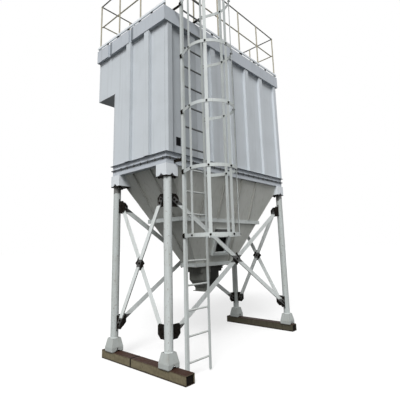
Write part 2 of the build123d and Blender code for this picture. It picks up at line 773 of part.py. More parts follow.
def plenum_sides():
    """The flat ends of the plenum that stands out from the back, flush with the end walls."""
    plates = []
    for sign in (-1, 1):
        plates.append(block(
            (sign * (WALL_X - WALL_SHEET), sign * WALL_X),
            (WALL_Y - WALL_SHEET, PLENUM_BACK),
            (PLENUM_FOOT + WALL_SHEET, WALL_TOP),
        ))
    return plates


def plenum_back():
    """The plenum's flat back, between its ends."""
    half = WALL_X - WALL_SHEET
    return block(
        (-half, half),
        (PLENUM_BACK - WALL_SHEET, PLENUM_BACK),
        (PLENUM_FOOT + WALL_SHEET, WALL_TOP),
    )


def plenum_floor():
    """The plenum's floor, over the top edge of the back wall."""
    return block(
        (-WALL_X, WALL_X),
        (WALL_Y - WALL_SHEET, PLENUM_BACK),
        (PLENUM_FOOT, PLENUM_FOOT + WALL_SHEET),
    )


def name_plate():
    """The small bare plate on the front wall beside the ladder."""
    left = -WALL_X + 2 * FOLD_DEPTH + CORNER_FACE + PLATE_GAP
    foot = WALL_FOOT + PLATE_RISE
    return block(
        (left, left + PLATE_WIDTH),
        (-WALL_Y - PLATE_THICKNESS, -WALL_Y),
        (foot, foot + PLATE_HEIGHT),
    )


# Fascia and roof

FASCIA_HALF_Y = (FASCIA_BACK - FASCIA_FRONT) / 2
FASCIA_CENTRE_Y = (FASCIA_BACK + FASCIA_FRONT) / 2


def fascia():
    """The channel round the head of the housing, as (front, left, back, right)."""
    points = [
        (0, WALL_TOP),
        (FASCIA_LEG, WALL_TOP),
        (FASCIA_LEG, WALL_TOP + FASCIA_PLATE),
        (FASCIA_PLATE, WALL_TOP + FASCIA_PLATE),
        (FASCIA_PLATE, ROOF_EDGE - FASCIA_PLATE),
        (FASCIA_LEG, ROOF_EDGE - FASCIA_PLATE),
        (FASCIA_LEG, ROOF_EDGE),
        (0, ROOF_EDGE),
    ]
    return mitred_frame(FASCIA_X, FASCIA_HALF_Y, points, FASCIA_CENTRE_Y)


def fascia_joint(sign, y):
    """The recess between two lengths of an end fascia, pressed into its face."""
    return block(
        (sign * (FASCIA_X - FASCIA_JOINT_RECESS), sign * (FASCIA_X + FASCIA_JOINT_RECESS)),
        (y - FASCIA_JOINT / 2, y + FASCIA_JOINT / 2),
        (WALL_TOP, ROOF_EDGE),
    )


def fascia_joint_strip(sign, y):
    """The strip that backs the recess between two lengths of fascia."""
    return block(
        (sign * (FASCIA_X - FASCIA_JOINT_RECESS - FASCIA_PLATE), sign * (FASCIA_X - FASCIA_JOINT_RECESS)),
        (y - FASCIA_JOINT / 2, y + FASCIA_JOINT / 2),
        (WALL_TOP + FASCIA_PLATE, ROOF_EDGE - FASCIA_PLATE),
    )


def end_fascia(channel, sign):
    """An end length of fascia with its two recessed joints."""
    for run in FASCIA_JOINT_RUNS:
        y = FASCIA_FRONT + run
        channel -= fascia_joint(sign, y)
        channel += fascia_joint_strip(sign, y)
        for edge in (-1, 1):
            cheek_y = y + edge * (FASCIA_JOINT + FASCIA_PLATE) / 2
            channel += block(
                (sign * FASCIA_X, sign * (FASCIA_X - FASCIA_JOINT_RECESS - FASCIA_PLATE)),
                (cheek_y - FASCIA_PLATE / 2, cheek_y + FASCIA_PLATE / 2),
                (WALL_TOP, ROOF_EDGE),
            )
    return channel


def roof_deck():
    """The flat roof plate, lapped on the fascia's top leg."""
    half_x = FASCIA_X - ROOF_SETBACK
    return block(
        (-half_x, half_x),
        (FASCIA_FRONT + ROOF_SETBACK, FASCIA_BACK - ROOF_SETBACK),
        (ROOF_EDGE, ROOF_EDGE + ROOF_PLATE),
    )


# Railing

POST_X = FASCIA_X - POST_INSET_X
POST_FRONT = FASCIA_FRONT + POST_INSET_Y
POST_BACK = FASCIA_BACK - POST_INSET_Y
RAIL_RADIUS = RAIL_DIAMETER / 2
RAIL_OFFSET = POST_DIAMETER / 2 + RAIL_RADIUS
TOP_RAIL_Z = ROOF_EDGE + TOP_RAIL_HEIGHT
MID_RAIL_Z = ROOF_EDGE + MID_RAIL_HEIGHT
TOE_RAIL_Z = ROOF_EDGE + TOE_RAIL_HEIGHT


def post_places():
    """The plan of the railing's posts, with the ladder's way in left open at the front."""
    pitch_x = 2 * POST_X / FRONT_POST_SPACES
    pitch_y = (POST_BACK - POST_FRONT) / SIDE_POST_SPACES
    places = []
    for index in range(FRONT_POST_SPACES + 1):
        x = -POST_X + index * pitch_x
        places += [(x, POST_FRONT), (x, POST_BACK)]
    for index in range(1, SIDE_POST_SPACES):
        y = POST_FRONT + index * pitch_y
        places += [(-POST_X, y), (POST_X, y)]
    return places


def gate_post_x():
    """The front post on the right of the ladder's way in."""
    return -POST_X + 2 * POST_X / FRONT_POST_SPACES


def tube(start, end):
    """One straight railing tube."""
    across = (0, 0, 1)
    return bar(start, end, tube_profile(RAIL_DIAMETER, RAIL_WALL), across)


def top_rails():
    """The handrail on top of the posts, one tube a side."""
    side_rails = []
    for x in (-POST_X, POST_X):
        start = (x, POST_FRONT - RAIL_RADIUS, TOP_RAIL_Z)
        end = (x, POST_BACK + RAIL_RADIUS, TOP_RAIL_Z)
        side_rails.append(tube(start, end))
    inner = POST_X - POST_DIAMETER / 2 - MITRE_GAP
    back_rail = tube((-inner, POST_BACK, TOP_RAIL_Z), (inner, POST_BACK, TOP_RAIL_Z))
    gate_x = gate_post_x() - RAIL_RADIUS
    front_rail = tube((gate_x, POST_FRONT, TOP_RAIL_Z), (inner, POST_FRONT, TOP_RAIL_Z))
    return side_rails + [back_rail, front_rail]


def rails_beside_posts(height, side):
    """The rails at one height along the inner (-1) or outer (+1) side of the posts."""
    rail_x = POST_X + side * RAIL_OFFSET
    front_y = POST_FRONT - side * RAIL_OFFSET
    back_y = POST_BACK + side * RAIL_OFFSET
    start_y = min(POST_FRONT, front_y - RAIL_RADIUS)
    end_y = max(POST_BACK, back_y + RAIL_RADIUS)
    inner = rail_x - RAIL_RADIUS - MITRE_GAP
    rails = []
    for sign in (-1, 1):
        rails.append(tube((sign * rail_x, start_y, height), (sign * rail_x, end_y, height)))
    rails.append(tube((-inner, back_y, height), (inner, back_y, height)))
    rails.append(tube((gate_post_x() - RAIL_RADIUS, front_y, height), (inner, front_y, height)))
    return rails


def spread(start, end, count):
    """Evenly spaced places between two ends, both ends left out."""
    return [start + (end - start) * (index + 1) / (count + 1) for index in range(count)]


def toe_lugs():
    """The short flat lugs that stand on the fascia and carry the toe rails."""
    rail_x = POST_X + RAIL_OFFSET
    front_y = POST_FRONT - RAIL_OFFSET
    back_y = POST_BACK + RAIL_OFFSET
    along_x = [(x, back_y) for x in spread(-rail_x, rail_x, FRONT_TOE_LUGS)]
    along_x += [(x, front_y) for x in spread(gate_post_x(), rail_x, FRONT_TOE_LUGS - 1)]
    along_y = [(sign * rail_x, y) for sign in (-1, 1) for y in spread(front_y, back_y, SIDE_TOE_LUGS)]
    return [toe_lug(x, y, 0) for x, y in along_x] + [toe_lug(x, y, 90) for x, y in along_y]


def toe_lug(x, y, turn):
    """One lug under a toe rail, hollowed to fit the tube that lies on it."""
    height = TOE_RAIL_Z - ROOF_EDGE
    half = TOE_LUG_LENGTH / 2
    plate = block((-half, half), (-TOE_LUG_PLATE / 2, TOE_LUG_PLATE / 2), (0, height))
    seat = bar((-TOE_LUG_LENGTH, 0, height), (TOE_LUG_LENGTH, 0, height), Circle(RAIL_RADIUS), (0, 0, 1))
    return Pos(x, y, ROOF_EDGE) * Rot(0, 0, turn) * (plate - seat)


def railing_posts():
    """The tube posts, from the fascia up to a saddle under the handrail."""
    section = tube_profile(POST_DIAMETER, POST_WALL)
    posts = []
    for x, y in post_places():
        post = Pos(x, y, ROOF_EDGE) * extrude(section, amount=TOP_RAIL_HEIGHT)
        on_end = abs(abs(x) - POST_X) < MITRE_GAP
        run = Vector(0, POST_DIAMETER, 0) if on_end else Vector(POST_DIAMETER, 0, 0)
        centre = Vector(x, y, TOP_RAIL_Z)
        saddle = bar(tuple(centre - run), tuple(centre + run), Circle(RAIL_RADIUS), (0, 0, 1))
        posts.append(post - saddle)
    return posts


# Ladder and cage

def stile(side):
    """One angle stile, with one leg along the ladder's edge and the other across its front."""
    outer_x = LADDER_LEFT_X if side < 0 else LADDER_RIGHT_X
    points = [
        (0, 0),
        (STILE_LEG, 0),
        (STILE_LEG, STILE_PLATE),
        (STILE_PLATE, STILE_PLATE),
        (STILE_PLATE, STILE_LEG),
        (0, STILE_LEG),
    ]
    placed = [(outer_x - side * along, LADDER_FRONT_Y + back) for along, back in points]
    return prism(placed, LADDER_FOOT, LADDER_TOP)


def rungs():
    """The round rungs between the stiles."""
    y = LADDER_FRONT_Y + RUNG_SETBACK
    bars = []
    for index in range(RUNGS):
        z = FIRST_RUNG_HEIGHT + index * RUNG_PITCH
        start = (LADDER_LEFT_X + STILE_PLATE, y, z)
        end = (LADDER_RIGHT_X - STILE_PLATE, y, z)
        bars.append(bar(start, end, Circle(RUNG_DIAMETER / 2), (0, 0, 1)))
    return bars


def ladder_brackets():
    """The flat bars that hold the stiles to the ring beam and over the edge of the roof."""
    web_face = -RING_Y + FLANGE_LIP
    low_foot = RING_FOOT + LOW_BRACKET_RISE
    bars = []
    for side, outer_x in ((-1, LADDER_LEFT_X), (1, LADDER_RIGHT_X)):
        x_limits = (outer_x, outer_x - side * BRACKET_PLATE)
        bars.append(block(x_limits, (LADDER_BACK_Y, web_face), (low_foot, low_foot + BRACKET_HEIGHT)))
        lap = FASCIA_FRONT + TOP_BRACKET_LAP
        bars.append(block(x_limits, (LADDER_BACK_Y, lap), (ROOF_EDGE, ROOF_EDGE + BRACKET_HEIGHT)))
    return bars


def hoop_face():
    """A hoop's band in plan: tabs on the stiles, straight legs tangent to the round front."""
    tab_x = LADDER_WIDTH / 2
    tab_end = LADDER_BACK_Y - CAGE_CENTRE_Y
    bend = tab_end - HOOP_TAB
    sides = []
    for extra in (0, HOOP_PLATE):
        radius = CAGE_RADIUS + extra
        reach = math.hypot(tab_x + extra, bend)
        angle = math.degrees(math.atan2(bend, tab_x + extra)) - math.degrees(math.acos(radius / reach))
        touch = (radius * math.cos(math.radians(angle)), radius * math.sin(math.radians(angle)))
        sides.append((tab_x + extra, radius, touch))
    (inner_x, inner_radius, inner_touch), (outer_x, outer_radius, outer_touch) = sides
    edges = [
        Line((-inner_x, tab_end), (-inner_x, bend)),
        Line((-inner_x, bend), (-inner_touch[0], inner_touch[1])),
        ThreePointArc((-inner_touch[0], inner_touch[1]), (0, -inner_radius), inner_touch),
        Line(inner_touch, (inner_x, bend)),
        Line((inner_x, bend), (inner_x, tab_end)),
        Line((inner_x, tab_end), (outer_x, tab_end)),
        Line((outer_x, tab_end), (outer_x, bend)),
        Line((outer_x, bend), outer_touch),
        ThreePointArc(outer_touch, (0, -outer_radius), (-outer_touch[0], outer_touch[1])),
        Line((-outer_touch[0], outer_touch[1]), (-outer_x, bend)),
        Line((-outer_x, bend), (-outer_x, tab_end)),
        Line((-outer_x, tab_end), (-inner_x, tab_end)),
    ]
    return make_face(edges)


def hoop(index):
    """One flat-bar hoop of the cage, counted from the lowest."""
    foot = FIRST_HOOP_HEIGHT + index * HOOP_PITCH - HOOP_BAND / 2
    return Pos(CAGE_CENTRE_X, CAGE_CENTRE_Y, foot) * extrude(hoop_face(), amount=HOOP_BAND)


def cage_straps():
    """The upright flat bars inside the hoops, from the lowest hoop to the highest."""
    foot = FIRST_HOOP_HEIGHT - HOOP_BAND / 2
    face_radius = math.sqrt(CAGE_RADIUS ** 2 - (HOOP_BAND / 2) ** 2)
    bars = []
    for angle in STRAP_ANGLES:
        strap = Pos(face_radius - HOOP_PLATE / 2, 0, (foot + CAGE_TOP) / 2) * Box(
            HOOP_PLATE, HOOP_BAND, CAGE_TOP - foot
        )
        bars.append(Pos(CAGE_CENTRE_X, CAGE_CENTRE_Y, 0) * Rot(0, 0, angle) * strap)
    return bars


os.makedirs("parts", exist_ok=True)

save("skid_left", [skid(-1, LEFT_SKID_FRONT_RUN)])
save("skid_right", [skid(1, RIGHT_SKID_FRONT_RUN)])
for side, end in four_corners():
    where = ("front" if end < 0 else "back") + ("_left" if side < 0 else "_right")
    save(f"leg_{where}", [leg(side, end)])
save("leg_shoes", [shoe(side, end) for side, end in four_corners()])

hopper_form = hopper_envelope()
save("leg_caps", [leg_cap(side, end, hopper_form) for side, end in four_corners()])
save("leg_flanges", [cap_flange(side, end) for side, end in four_corners()])

save("lower_gussets", gussets(LOWER_GUSSET_FOOT, False))
save("upper_gussets", gussets(UPPER_GUSSET_FOOT, True))
save("brace_front", brace_pair("x", -1))
save("brace_back", brace_pair("x", 1))
save("brace_left", brace_pair("y", -1))
save("brace_right", brace_pair("y", 1))
save("brace_clamps", brace_clamps())

save("hopper_flange", hopper_flange())
save("housing_flange", housing_flange())
front_plate, back_plate, left_plate, right_plate = hopper_plates()
save("hopper_front", [front_plate - inlet_cut()])
save("hopper_back", [back_plate])
save("hopper_left", [left_plate])
save("hopper_right", [right_plate])
save("hopper_stiffener", hopper_stiffener(hopper_form))
save("hopper_ribs", hopper_ribs())
save("outlet_flange", outlet_flange())
save("outlet_plate", [outlet_plate()])
save("inlet_frame", [inlet_frame()])
save("slide_gate", [slide_gate()])
save("discharge_chute", [discharge_chute()])

save("wall_front", [long_wall(-1, WALL_HEIGHT)])
save("wall_back", [long_wall(1, WALL_HEIGHT - PLENUM_HEIGHT)])
save("wall_left", [end_wall(-1)])
save("wall_right", [end_wall(1)])
save("plenum_sides", plenum_sides())
save("plenum_back", [plenum_back()])
save("plenum_floor", [plenum_floor()])
save("name_plate", [name_plate()])

fascia_front, fascia_left, fascia_back, fascia_right = fascia()
save("fascia_front", [fascia_front])
save("fascia_back", [fascia_back])
save("fascia_left", [end_fascia(fascia_left, -1)])
save("fascia_right", [end_fascia(fascia_right, 1)])
save("roof_deck", [roof_deck()])

save("railing_posts", railing_posts())
save("railing_top_rails", top_rails())
save("railing_mid_rails", rails_beside_posts(MID_RAIL_Z, -1))
save("railing_toe_rails", rails_beside_posts(TOE_RAIL_Z, 1))
save("railing_toe_lugs", toe_lugs())

save("ladder_stiles", [stile(-1), stile(1)])
save("ladder_rungs", rungs())
save("ladder_brackets", ladder_brackets())
for pair, name in enumerate(("cage_hoops_low", "cage_hoops_middle", "cage_hoops_top")):
    save(name, [hoop(2 * pair), hoop(2 * pair + 1)])
save("cage_straps", cage_straps())
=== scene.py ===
import logging
import math
from dataclasses import dataclass, replace
from enum import Enum
from functools import partial
from typing import Callable, Optional, Sequence

import bmesh
import bpy
from mathutils import Matrix, Vector

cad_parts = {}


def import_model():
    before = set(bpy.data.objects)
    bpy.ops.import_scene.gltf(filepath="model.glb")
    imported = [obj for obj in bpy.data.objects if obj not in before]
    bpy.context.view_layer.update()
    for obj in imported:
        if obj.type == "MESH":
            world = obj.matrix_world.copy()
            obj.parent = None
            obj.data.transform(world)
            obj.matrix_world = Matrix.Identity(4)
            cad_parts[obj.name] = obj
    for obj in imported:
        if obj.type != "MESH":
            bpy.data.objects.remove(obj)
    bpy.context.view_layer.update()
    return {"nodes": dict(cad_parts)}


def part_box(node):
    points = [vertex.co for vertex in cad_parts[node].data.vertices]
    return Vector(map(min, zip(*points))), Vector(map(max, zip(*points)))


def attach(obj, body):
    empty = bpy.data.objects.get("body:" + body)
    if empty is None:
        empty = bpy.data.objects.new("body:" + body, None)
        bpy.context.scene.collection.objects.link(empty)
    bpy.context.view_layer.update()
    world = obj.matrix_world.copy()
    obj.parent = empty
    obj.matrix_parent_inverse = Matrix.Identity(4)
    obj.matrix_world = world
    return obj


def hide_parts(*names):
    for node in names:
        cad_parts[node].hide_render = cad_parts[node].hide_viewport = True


# Looks of a skid-mounted dust collector, in metres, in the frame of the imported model.
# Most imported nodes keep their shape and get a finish. The walls are folded again with squarer
# ribs, the braces get narrower legs and the toe rails are deeper. Bolts, welds, seams and joints
# are added.

LOG = logging.getLogger("dust_collector")
MM = 0.001
MERGE_DISTANCE = 0.01 * MM
UP = Vector((0, 0, 1))
DOWN = Vector((0, 0, -1))
WHITE = "#FFFFFF"
MULTIPLY = {"operation": "MULTIPLY"}
SMOOTH = {"interpolation_type": "SMOOTHSTEP"}

BMesh = bmesh.types.BMesh
Material = bpy.types.Material
Node = bpy.types.Node
NodeTree = bpy.types.NodeTree
Object = bpy.types.Object
Socket = bpy.types.NodeSocket
Box = tuple[Vector, Vector]
Colour = tuple[float, float, float, float]
Corner = tuple[float, float, float]
Span = tuple[float, float]


# Helpers for the materials

def linear(hex_colour: str) -> Colour:
    """Turn an sRGB hex colour into the linear colour that a shader takes.

    Args:
        hex_colour: Six hex digits, with or without a leading hash.

    Returns:
        Red, green, blue and an alpha of one.
    """
    digits = hex_colour.lstrip("#")
    channels = [int(digits[at:at + 2], 16) / 255 for at in (0, 2, 4)]
    bent = [c / 12.92 if c <= 0.04045 else ((c + 0.055) / 1.055) ** 2.4 for c in channels]
    return bent[0], bent[1], bent[2], 1.0


def add_node(tree: NodeTree, kind: str, settings: Optional[dict] = None,
             inputs: Optional[dict] = None) -> Node:
    """Add a shader node with its settings, values and links.

    Args:
        tree: The node tree that the node goes into.
        kind: The node's type name, such as ShaderNodeTexNoise.
        settings: Properties of the node, such as its operation.
        inputs: Input name or index to a value, or to the socket that feeds it.

    Returns:
        The new node.
    """
    node = tree.nodes.new(kind)
    for name, value in (settings or {}).items():
        setattr(node, name, value)
    for name, value in (inputs or {}).items():
        if isinstance(value, bpy.types.NodeSocket):
            tree.links.new(value, node.inputs[name])
        else:
            node.inputs[name].default_value = value
    return node


def empty_tree(owner: Material | bpy.types.World) -> NodeTree:
    """Turn on the nodes of a material or world and clear them.

    Args:
        owner: The material or world.

    Returns:
        Its empty node tree.
    """
    owner.use_nodes = True
    owner.node_tree.nodes.clear()
    return owner.node_tree


def seen_rays(tree: NodeTree) -> Socket:
    """Tell the rays that show a surface from those that only carry its light.

    Args:
        tree: The node tree of a material or world.

    Returns:
        One for a camera ray or a glossy ray, and nothing for any other.
    """
    rays = add_node(tree, "ShaderNodeLightPath")
    return add_node(tree, "ShaderNodeMath", {"operation": "MAXIMUM"}, {
        0: rays.outputs["Is Camera Ray"], 1: rays.outputs["Is Glossy Ray"]}).outputs["Value"]


def per_metre(size_mm: float) -> float:
    """The noise scale that gives a pattern of a real size, in millimetres."""
    return 1000.0 / size_mm


# Finishes

@dataclass(frozen=True)
class Band:
    """A length along one axis that is grimy or scorched, or darkened as painted shade or shadow,
    with a ragged edge, in metres.
    """

    axis: str
    low: float
    high: float
    colour: str
    share: float = 0.92
    ragged: float = 0.03
    soft: float = 0.006

    def mask(self, tree: NodeTree, place: Socket, noise: Socket) -> Socket:
        """Mask the band.

        Args:
            tree: The material's node tree.
            place: Object coordinates.
            noise: A noise between nothing and one that makes the edge ragged.

        Returns:
            A mask that is one inside the band.
        """
        along = add_node(tree, "ShaderNodeSeparateXYZ", None, {"Vector": place}).outputs[self.axis]
        moved = add_node(tree, "ShaderNodeMath", {"operation": "MULTIPLY_ADD"}, {
            0: noise, 1: self.ragged, 2: along}).outputs["Value"]
        low, high = self.low + self.ragged / 2, self.high + self.ragged / 2
        soft = self.soft
        rise, fall = (
            add_node(tree, "ShaderNodeMapRange", SMOOTH, {
                "Value": moved, "From Min": start, "From Max": end}).outputs["Result"]
            for start, end in ((low - soft, low + soft), (high + soft, high - soft)))
        return add_node(tree, "ShaderNodeMath", MULTIPLY, {0: rise, 1: fall}).outputs["Value"]


@dataclass(frozen=True)
class Spot:
    """A round stain with a ragged edge, in metres, that fades between two shares of its radius."""

    centre: Corner
    radius: float
    colour: str
    share: float
    outer: float = 1.4
    inner: float = 0.6

    def mask(self, tree: NodeTree, place: Socket, noise: Socket) -> Socket:
        """Mask the stain.

        Args:
            tree: The material's node tree.
            place: Object coordinates.
            noise: A noise between nothing and one that makes the edge ragged.

        Returns:
            A mask that is one in the middle of the stain.
        """
        away = add_node(tree, "ShaderNodeVectorMath", {"operation": "DISTANCE"}, {
            0: place, 1: self.centre}).outputs["Value"]
        moved = add_node(tree, "ShaderNodeMath", {"operation": "MULTIPLY_ADD"}, {
            0: noise, 1: self.radius, 2: away}).outputs["Value"]
        return add_node(tree, "ShaderNodeMapRange", SMOOTH, {
            "Value": moved, "From Min": self.radius * self.outer,
            "From Max": self.radius * self.inner}).outputs["Result"]


@dataclass(frozen=True)
class PaintedSteel:
    """Alkyd gloss paint on mild steel, brushed or sprayed on and left out in the weather.

    Such paint chalks to a dull, even colour. Rain draws streaks of dust down it, dust settles in
    patches, and rust breaks through in specks and along edges. Its marks add stains, and also
    painted shade and shadow where a finish carries them.
    """

    name: str
    colour: str
    patch: str
    streak: str
    rust: str = "#5A3A28"
    patch_share: float = 0.45
    patch_span: Span = (0.42, 0.72)
    patch_size_mm: float = 520.0
    streak_share: float = 0.35
    streak_span: Span = (0.52, 0.76)
    streak_width_mm: float = 42.0
    streak_length_mm: float = 1500.0
    speck_size_mm: float = 34.0
    speck_level: float = 0.73
    speck_soft: float = 0.05
    speck_share: float = 0.75
    edge_share: float = 0.35
    edge_width_mm: float = 7.0
    roughness: float = 0.55
    specular: float = 0.5
    ior: float = 1.5
    dent_size_mm: float = 460.0
    dent_depth: float = 0.18
    peel_size_mm: float = 7.0
    top_colour: Optional[str] = None
    top_share: float = 0.0
    top_span: Span = (0.35, 0.75)
    marks: tuple[Band | Spot, ...] = ()

    def tinted(self, name: str, colour: str, patch: str, streak: str,
               **changes: object) -> "PaintedSteel":
        """The same paint in another tint, with any other changes by field name."""
        return replace(self, name=name, colour=colour, patch=patch, streak=streak, **changes)

    def build(self) -> Material:
        """Make the material.

        Returns:
            A new material that reads Object coordinates.
        """
        material = bpy.data.materials.new(self.name)
        tree = empty_tree(material)
        place = add_node(tree, "ShaderNodeTexCoord").outputs["Object"]

        # Broad patches, where the paint has chalked and dust has settled
        patches = add_node(tree, "ShaderNodeTexNoise", None, {
            "Vector": place, "Scale": per_metre(self.patch_size_mm), "Detail": 5.0,
            "Roughness": 0.62}).outputs["Fac"]
        colour = self.lay(tree, patches, self.patch_share, linear(self.colour), self.patch,
                          self.patch_span)

        # Rain streaks: noise drawn out down the plant
        stretched = add_node(tree, "ShaderNodeMapping", None, {
            "Vector": place,
            "Scale": (per_metre(self.streak_width_mm), per_metre(self.streak_width_mm),
                      per_metre(self.streak_length_mm))}).outputs["Vector"]
        streaks = add_node(tree, "ShaderNodeTexNoise", None, {
            "Vector": stretched, "Scale": 1.0, "Detail": 3.0, "Roughness": 0.55}).outputs["Fac"]
        colour = self.lay(tree, streaks, self.streak_share, colour, self.streak, self.streak_span)

        # Rust specks and worn edges
        specks = add_node(tree, "ShaderNodeTexNoise", None, {
            "Vector": place, "Scale": per_metre(self.speck_size_mm), "Detail": 7.0,
            "Roughness": 0.7}).outputs["Fac"]
        colour = self.lay(tree, specks, self.speck_share, colour, self.rust,
                          (self.speck_level, self.speck_level + self.speck_soft))
        worn = self.worn_edges(tree, specks)
        colour = self.lay(tree, worn, self.edge_share, colour, self.rust)

        # What lies on the upward faces
        if self.top_colour is not None:
            up = add_node(tree, "ShaderNodeSeparateXYZ", None, {
                "Vector": add_node(tree, "ShaderNodeNewGeometry").outputs["Normal"]}).outputs["Z"]
            colour = self.lay(tree, up, self.top_share, colour, self.top_colour, self.top_span)

        # Scorched, grimy or stained places, and painted shade and shadow
        for mark in self.marks:
            stained = mark.mask(tree, place, patches)
            colour = self.lay(tree, stained, mark.share, colour, mark.colour)

        # Sheet that isn't quite flat, under a fine orange peel
        dents = add_node(tree, "ShaderNodeTexNoise", None, {
            "Vector": place, "Scale": per_metre(self.dent_size_mm), "Detail": 1.0,
            "Roughness": 0.4}).outputs["Fac"]
        peel = add_node(tree, "ShaderNodeTexNoise", None, {
            "Vector": place, "Scale": per_metre(self.peel_size_mm), "Detail": 3.0,
            "Roughness": 0.6}).outputs["Fac"]
        wave = add_node(tree, "ShaderNodeBump", None, {
            "Strength": self.dent_depth, "Distance": 0.05, "Height": dents})
        bump = add_node(tree, "ShaderNodeBump", None, {
            "Strength": 0.22, "Distance": 0.0012, "Height": peel, "Normal": wave.outputs["Normal"]})
        rough = add_node(tree, "ShaderNodeMapRange", None, {
            "Value": patches, "From Min": 0.3, "From Max": 0.7,
            "To Min": self.roughness - 0.07, "To Max": self.roughness + 0.12})
        shader = add_node(tree, "ShaderNodeBsdfPrincipled", None, {
            "Base Color": colour, "Roughness": rough.outputs["Result"], "Metallic": 0.0,
            "IOR": self.ior, "Specular IOR Level": self.specular, "Normal": bump.outputs["Normal"]})
        add_node(tree, "ShaderNodeOutputMaterial", None, {"Surface": shader.outputs["BSDF"]})
        return material

    def worn_edges(self, tree: NodeTree, breakup: Socket) -> Socket:
        """Mask the outer edges, broken up so that the wear isn't an even line.

        Args:
            tree: The material's node tree.
            breakup: A noise that the wear follows.

        Returns:
            A mask that is one where the paint is worn.
        """
        flat = add_node(tree, "ShaderNodeNewGeometry").outputs["Normal"]
        rounded = add_node(tree, "ShaderNodeBevel", {"samples": 4}, {
            "Radius": self.edge_width_mm * MM}).outputs["Normal"]
        agree = add_node(tree, "ShaderNodeVectorMath", {"operation": "DOT_PRODUCT"}, {
            0: flat, 1: rounded}).outputs["Value"]
        edge = add_node(tree, "ShaderNodeMapRange", None, {
            "Value": agree, "From Min": 0.98, "From Max": 0.86}).outputs["Result"]
        broken = add_node(tree, "ShaderNodeMapRange", SMOOTH, {
            "Value": breakup, "From Min": 0.44, "From Max": 0.62}).outputs["Result"]
        return add_node(tree, "ShaderNodeMath", MULTIPLY, {0: edge, 1: broken}).outputs["Value"]

    @staticmethod
    def lay(tree: NodeTree, value: Socket, share: float, below: Colour | Socket, above: str,
            span: Optional[Span] = None) -> Socket:
        """Lay a colour over another where a value is high.

        Args:
            tree: The material's node tree.
            value: The mask, noise or slope that tells where the upper colour shows.
            share: How much of it shows at most.
            below: The lower colour or its socket.
            above: The upper colour in hex.
            span: The values between which the upper colour comes in, where it has no mask.

        Returns:
            The mixed colour.
        """
        if span:
            value = add_node(tree, "ShaderNodeMapRange", SMOOTH, {
                "Value": value, "From Min": span[0], "From Max": span[1]}).outputs["Result"]
        amount = add_node(tree, "ShaderNodeMath", MULTIPLY, {0: value, 1: share}).outputs["Value"]
        return add_node(tree, "ShaderNodeMix", {"data_type": "RGBA"}, {
            0: amount, 6: below, 7: linear(above)}).outputs[2]


# Light blue-grey alkyd enamel, sprayed on folded sheet: nearly even, with faint rain marks
SPRAYED = PaintedSteel(
    "alkyd_enamel_light_grey", "#CCD2D7", "#C1C7CB", "#ACB1B3", specular=0.3,
    streak_share=0.30, speck_share=0.35, speck_level=0.76, edge_share=0.25)

# The same enamel brushed on tube and bar, with chips down to brown scale
BRUSHED = PaintedSteel(
    "brushed_enamel_pale_grey", "#C3C9C8", "#B7BAB5", "#8E8C83",
    patch_size_mm=260.0, streak_width_mm=24.0, streak_length_mm=420.0, streak_share=0.42,
    speck_size_mm=26.0, speck_level=0.66, speck_share=0.85, edge_share=0.40, dent_depth=0.06)

# Hot-rolled plate with its black mill scale, rusting through
ROLLED = PaintedSteel(
    "hot_rolled_mill_scale", "#16130F", "#100D0B", "#090807", rust="#2C1D14",
    patch_size_mm=70.0, streak_width_mm=14.0, streak_length_mm=90.0, speck_size_mm=18.0,
    speck_level=0.58, speck_share=0.5, roughness=0.82, specular=0.1, dent_size_mm=26.0,
    dent_depth=0.35)

# Olive grey primer on the skids, rusty on top where feet and water wear it
PRIMED = PaintedSteel(
    "weathered_primer_olive_grey", "#726A55", "#5E5745", "#40382A", rust="#2E1A11",
    patch_size_mm=190.0, streak_width_mm=36.0, streak_length_mm=160.0, patch_share=0.6,
    streak_share=0.5, speck_size_mm=44.0, speck_level=0.60, speck_share=0.5, roughness=0.72,
    specular=0.25, dent_size_mm=60.0, dent_depth=0.25, top_colour="#341A11", top_share=0.95,
    marks=(Band("Z", -0.01, 0.018, "#1E1510", 0.8), Band("Z", 0.104, 0.113, "#2A1A12", 0.6)))

# Unpainted plate of the gate and chute under dark dust, with its right part nearly black
CAKED = PaintedSteel(
    "dust_caked_plate", "#70726D", "#5F605B", "#4A4A44",
    patch_size_mm=140.0, streak_width_mm=22.0, streak_length_mm=160.0, patch_share=0.6,
    streak_share=0.5, roughness=0.8, specular=0.2,
    marks=(Band("X", -0.16, 0.14, "#0E0E0D", 0.92, ragged=0.05),))

# Grey-brown weathered paint of the railing tubes
RAILED = PaintedSteel(
    "weathered_enamel_grey_brown", "#A29C88", "#8F8775", "#716A59",
    patch_size_mm=150.0, streak_width_mm=16.0, streak_length_mm=200.0, speck_size_mm=22.0,
    speck_level=0.62, speck_share=0.6, edge_share=0.2, dent_depth=0.05)

# Dusty enamel on the hopper's plate, browned where dust has leaked
DUSTY = PaintedSteel(
    "dusty_enamel_grey", "#CFD1CC", "#BDBEB7", "#A09F96",
    patch_share=0.55, speck_share=0.5, speck_level=0.72, edge_share=0.3, specular=0.3,
    dent_depth=0.22, marks=(Spot((-1.0, -0.19, 1.93), 0.17, "#6E5749", 0.5),))


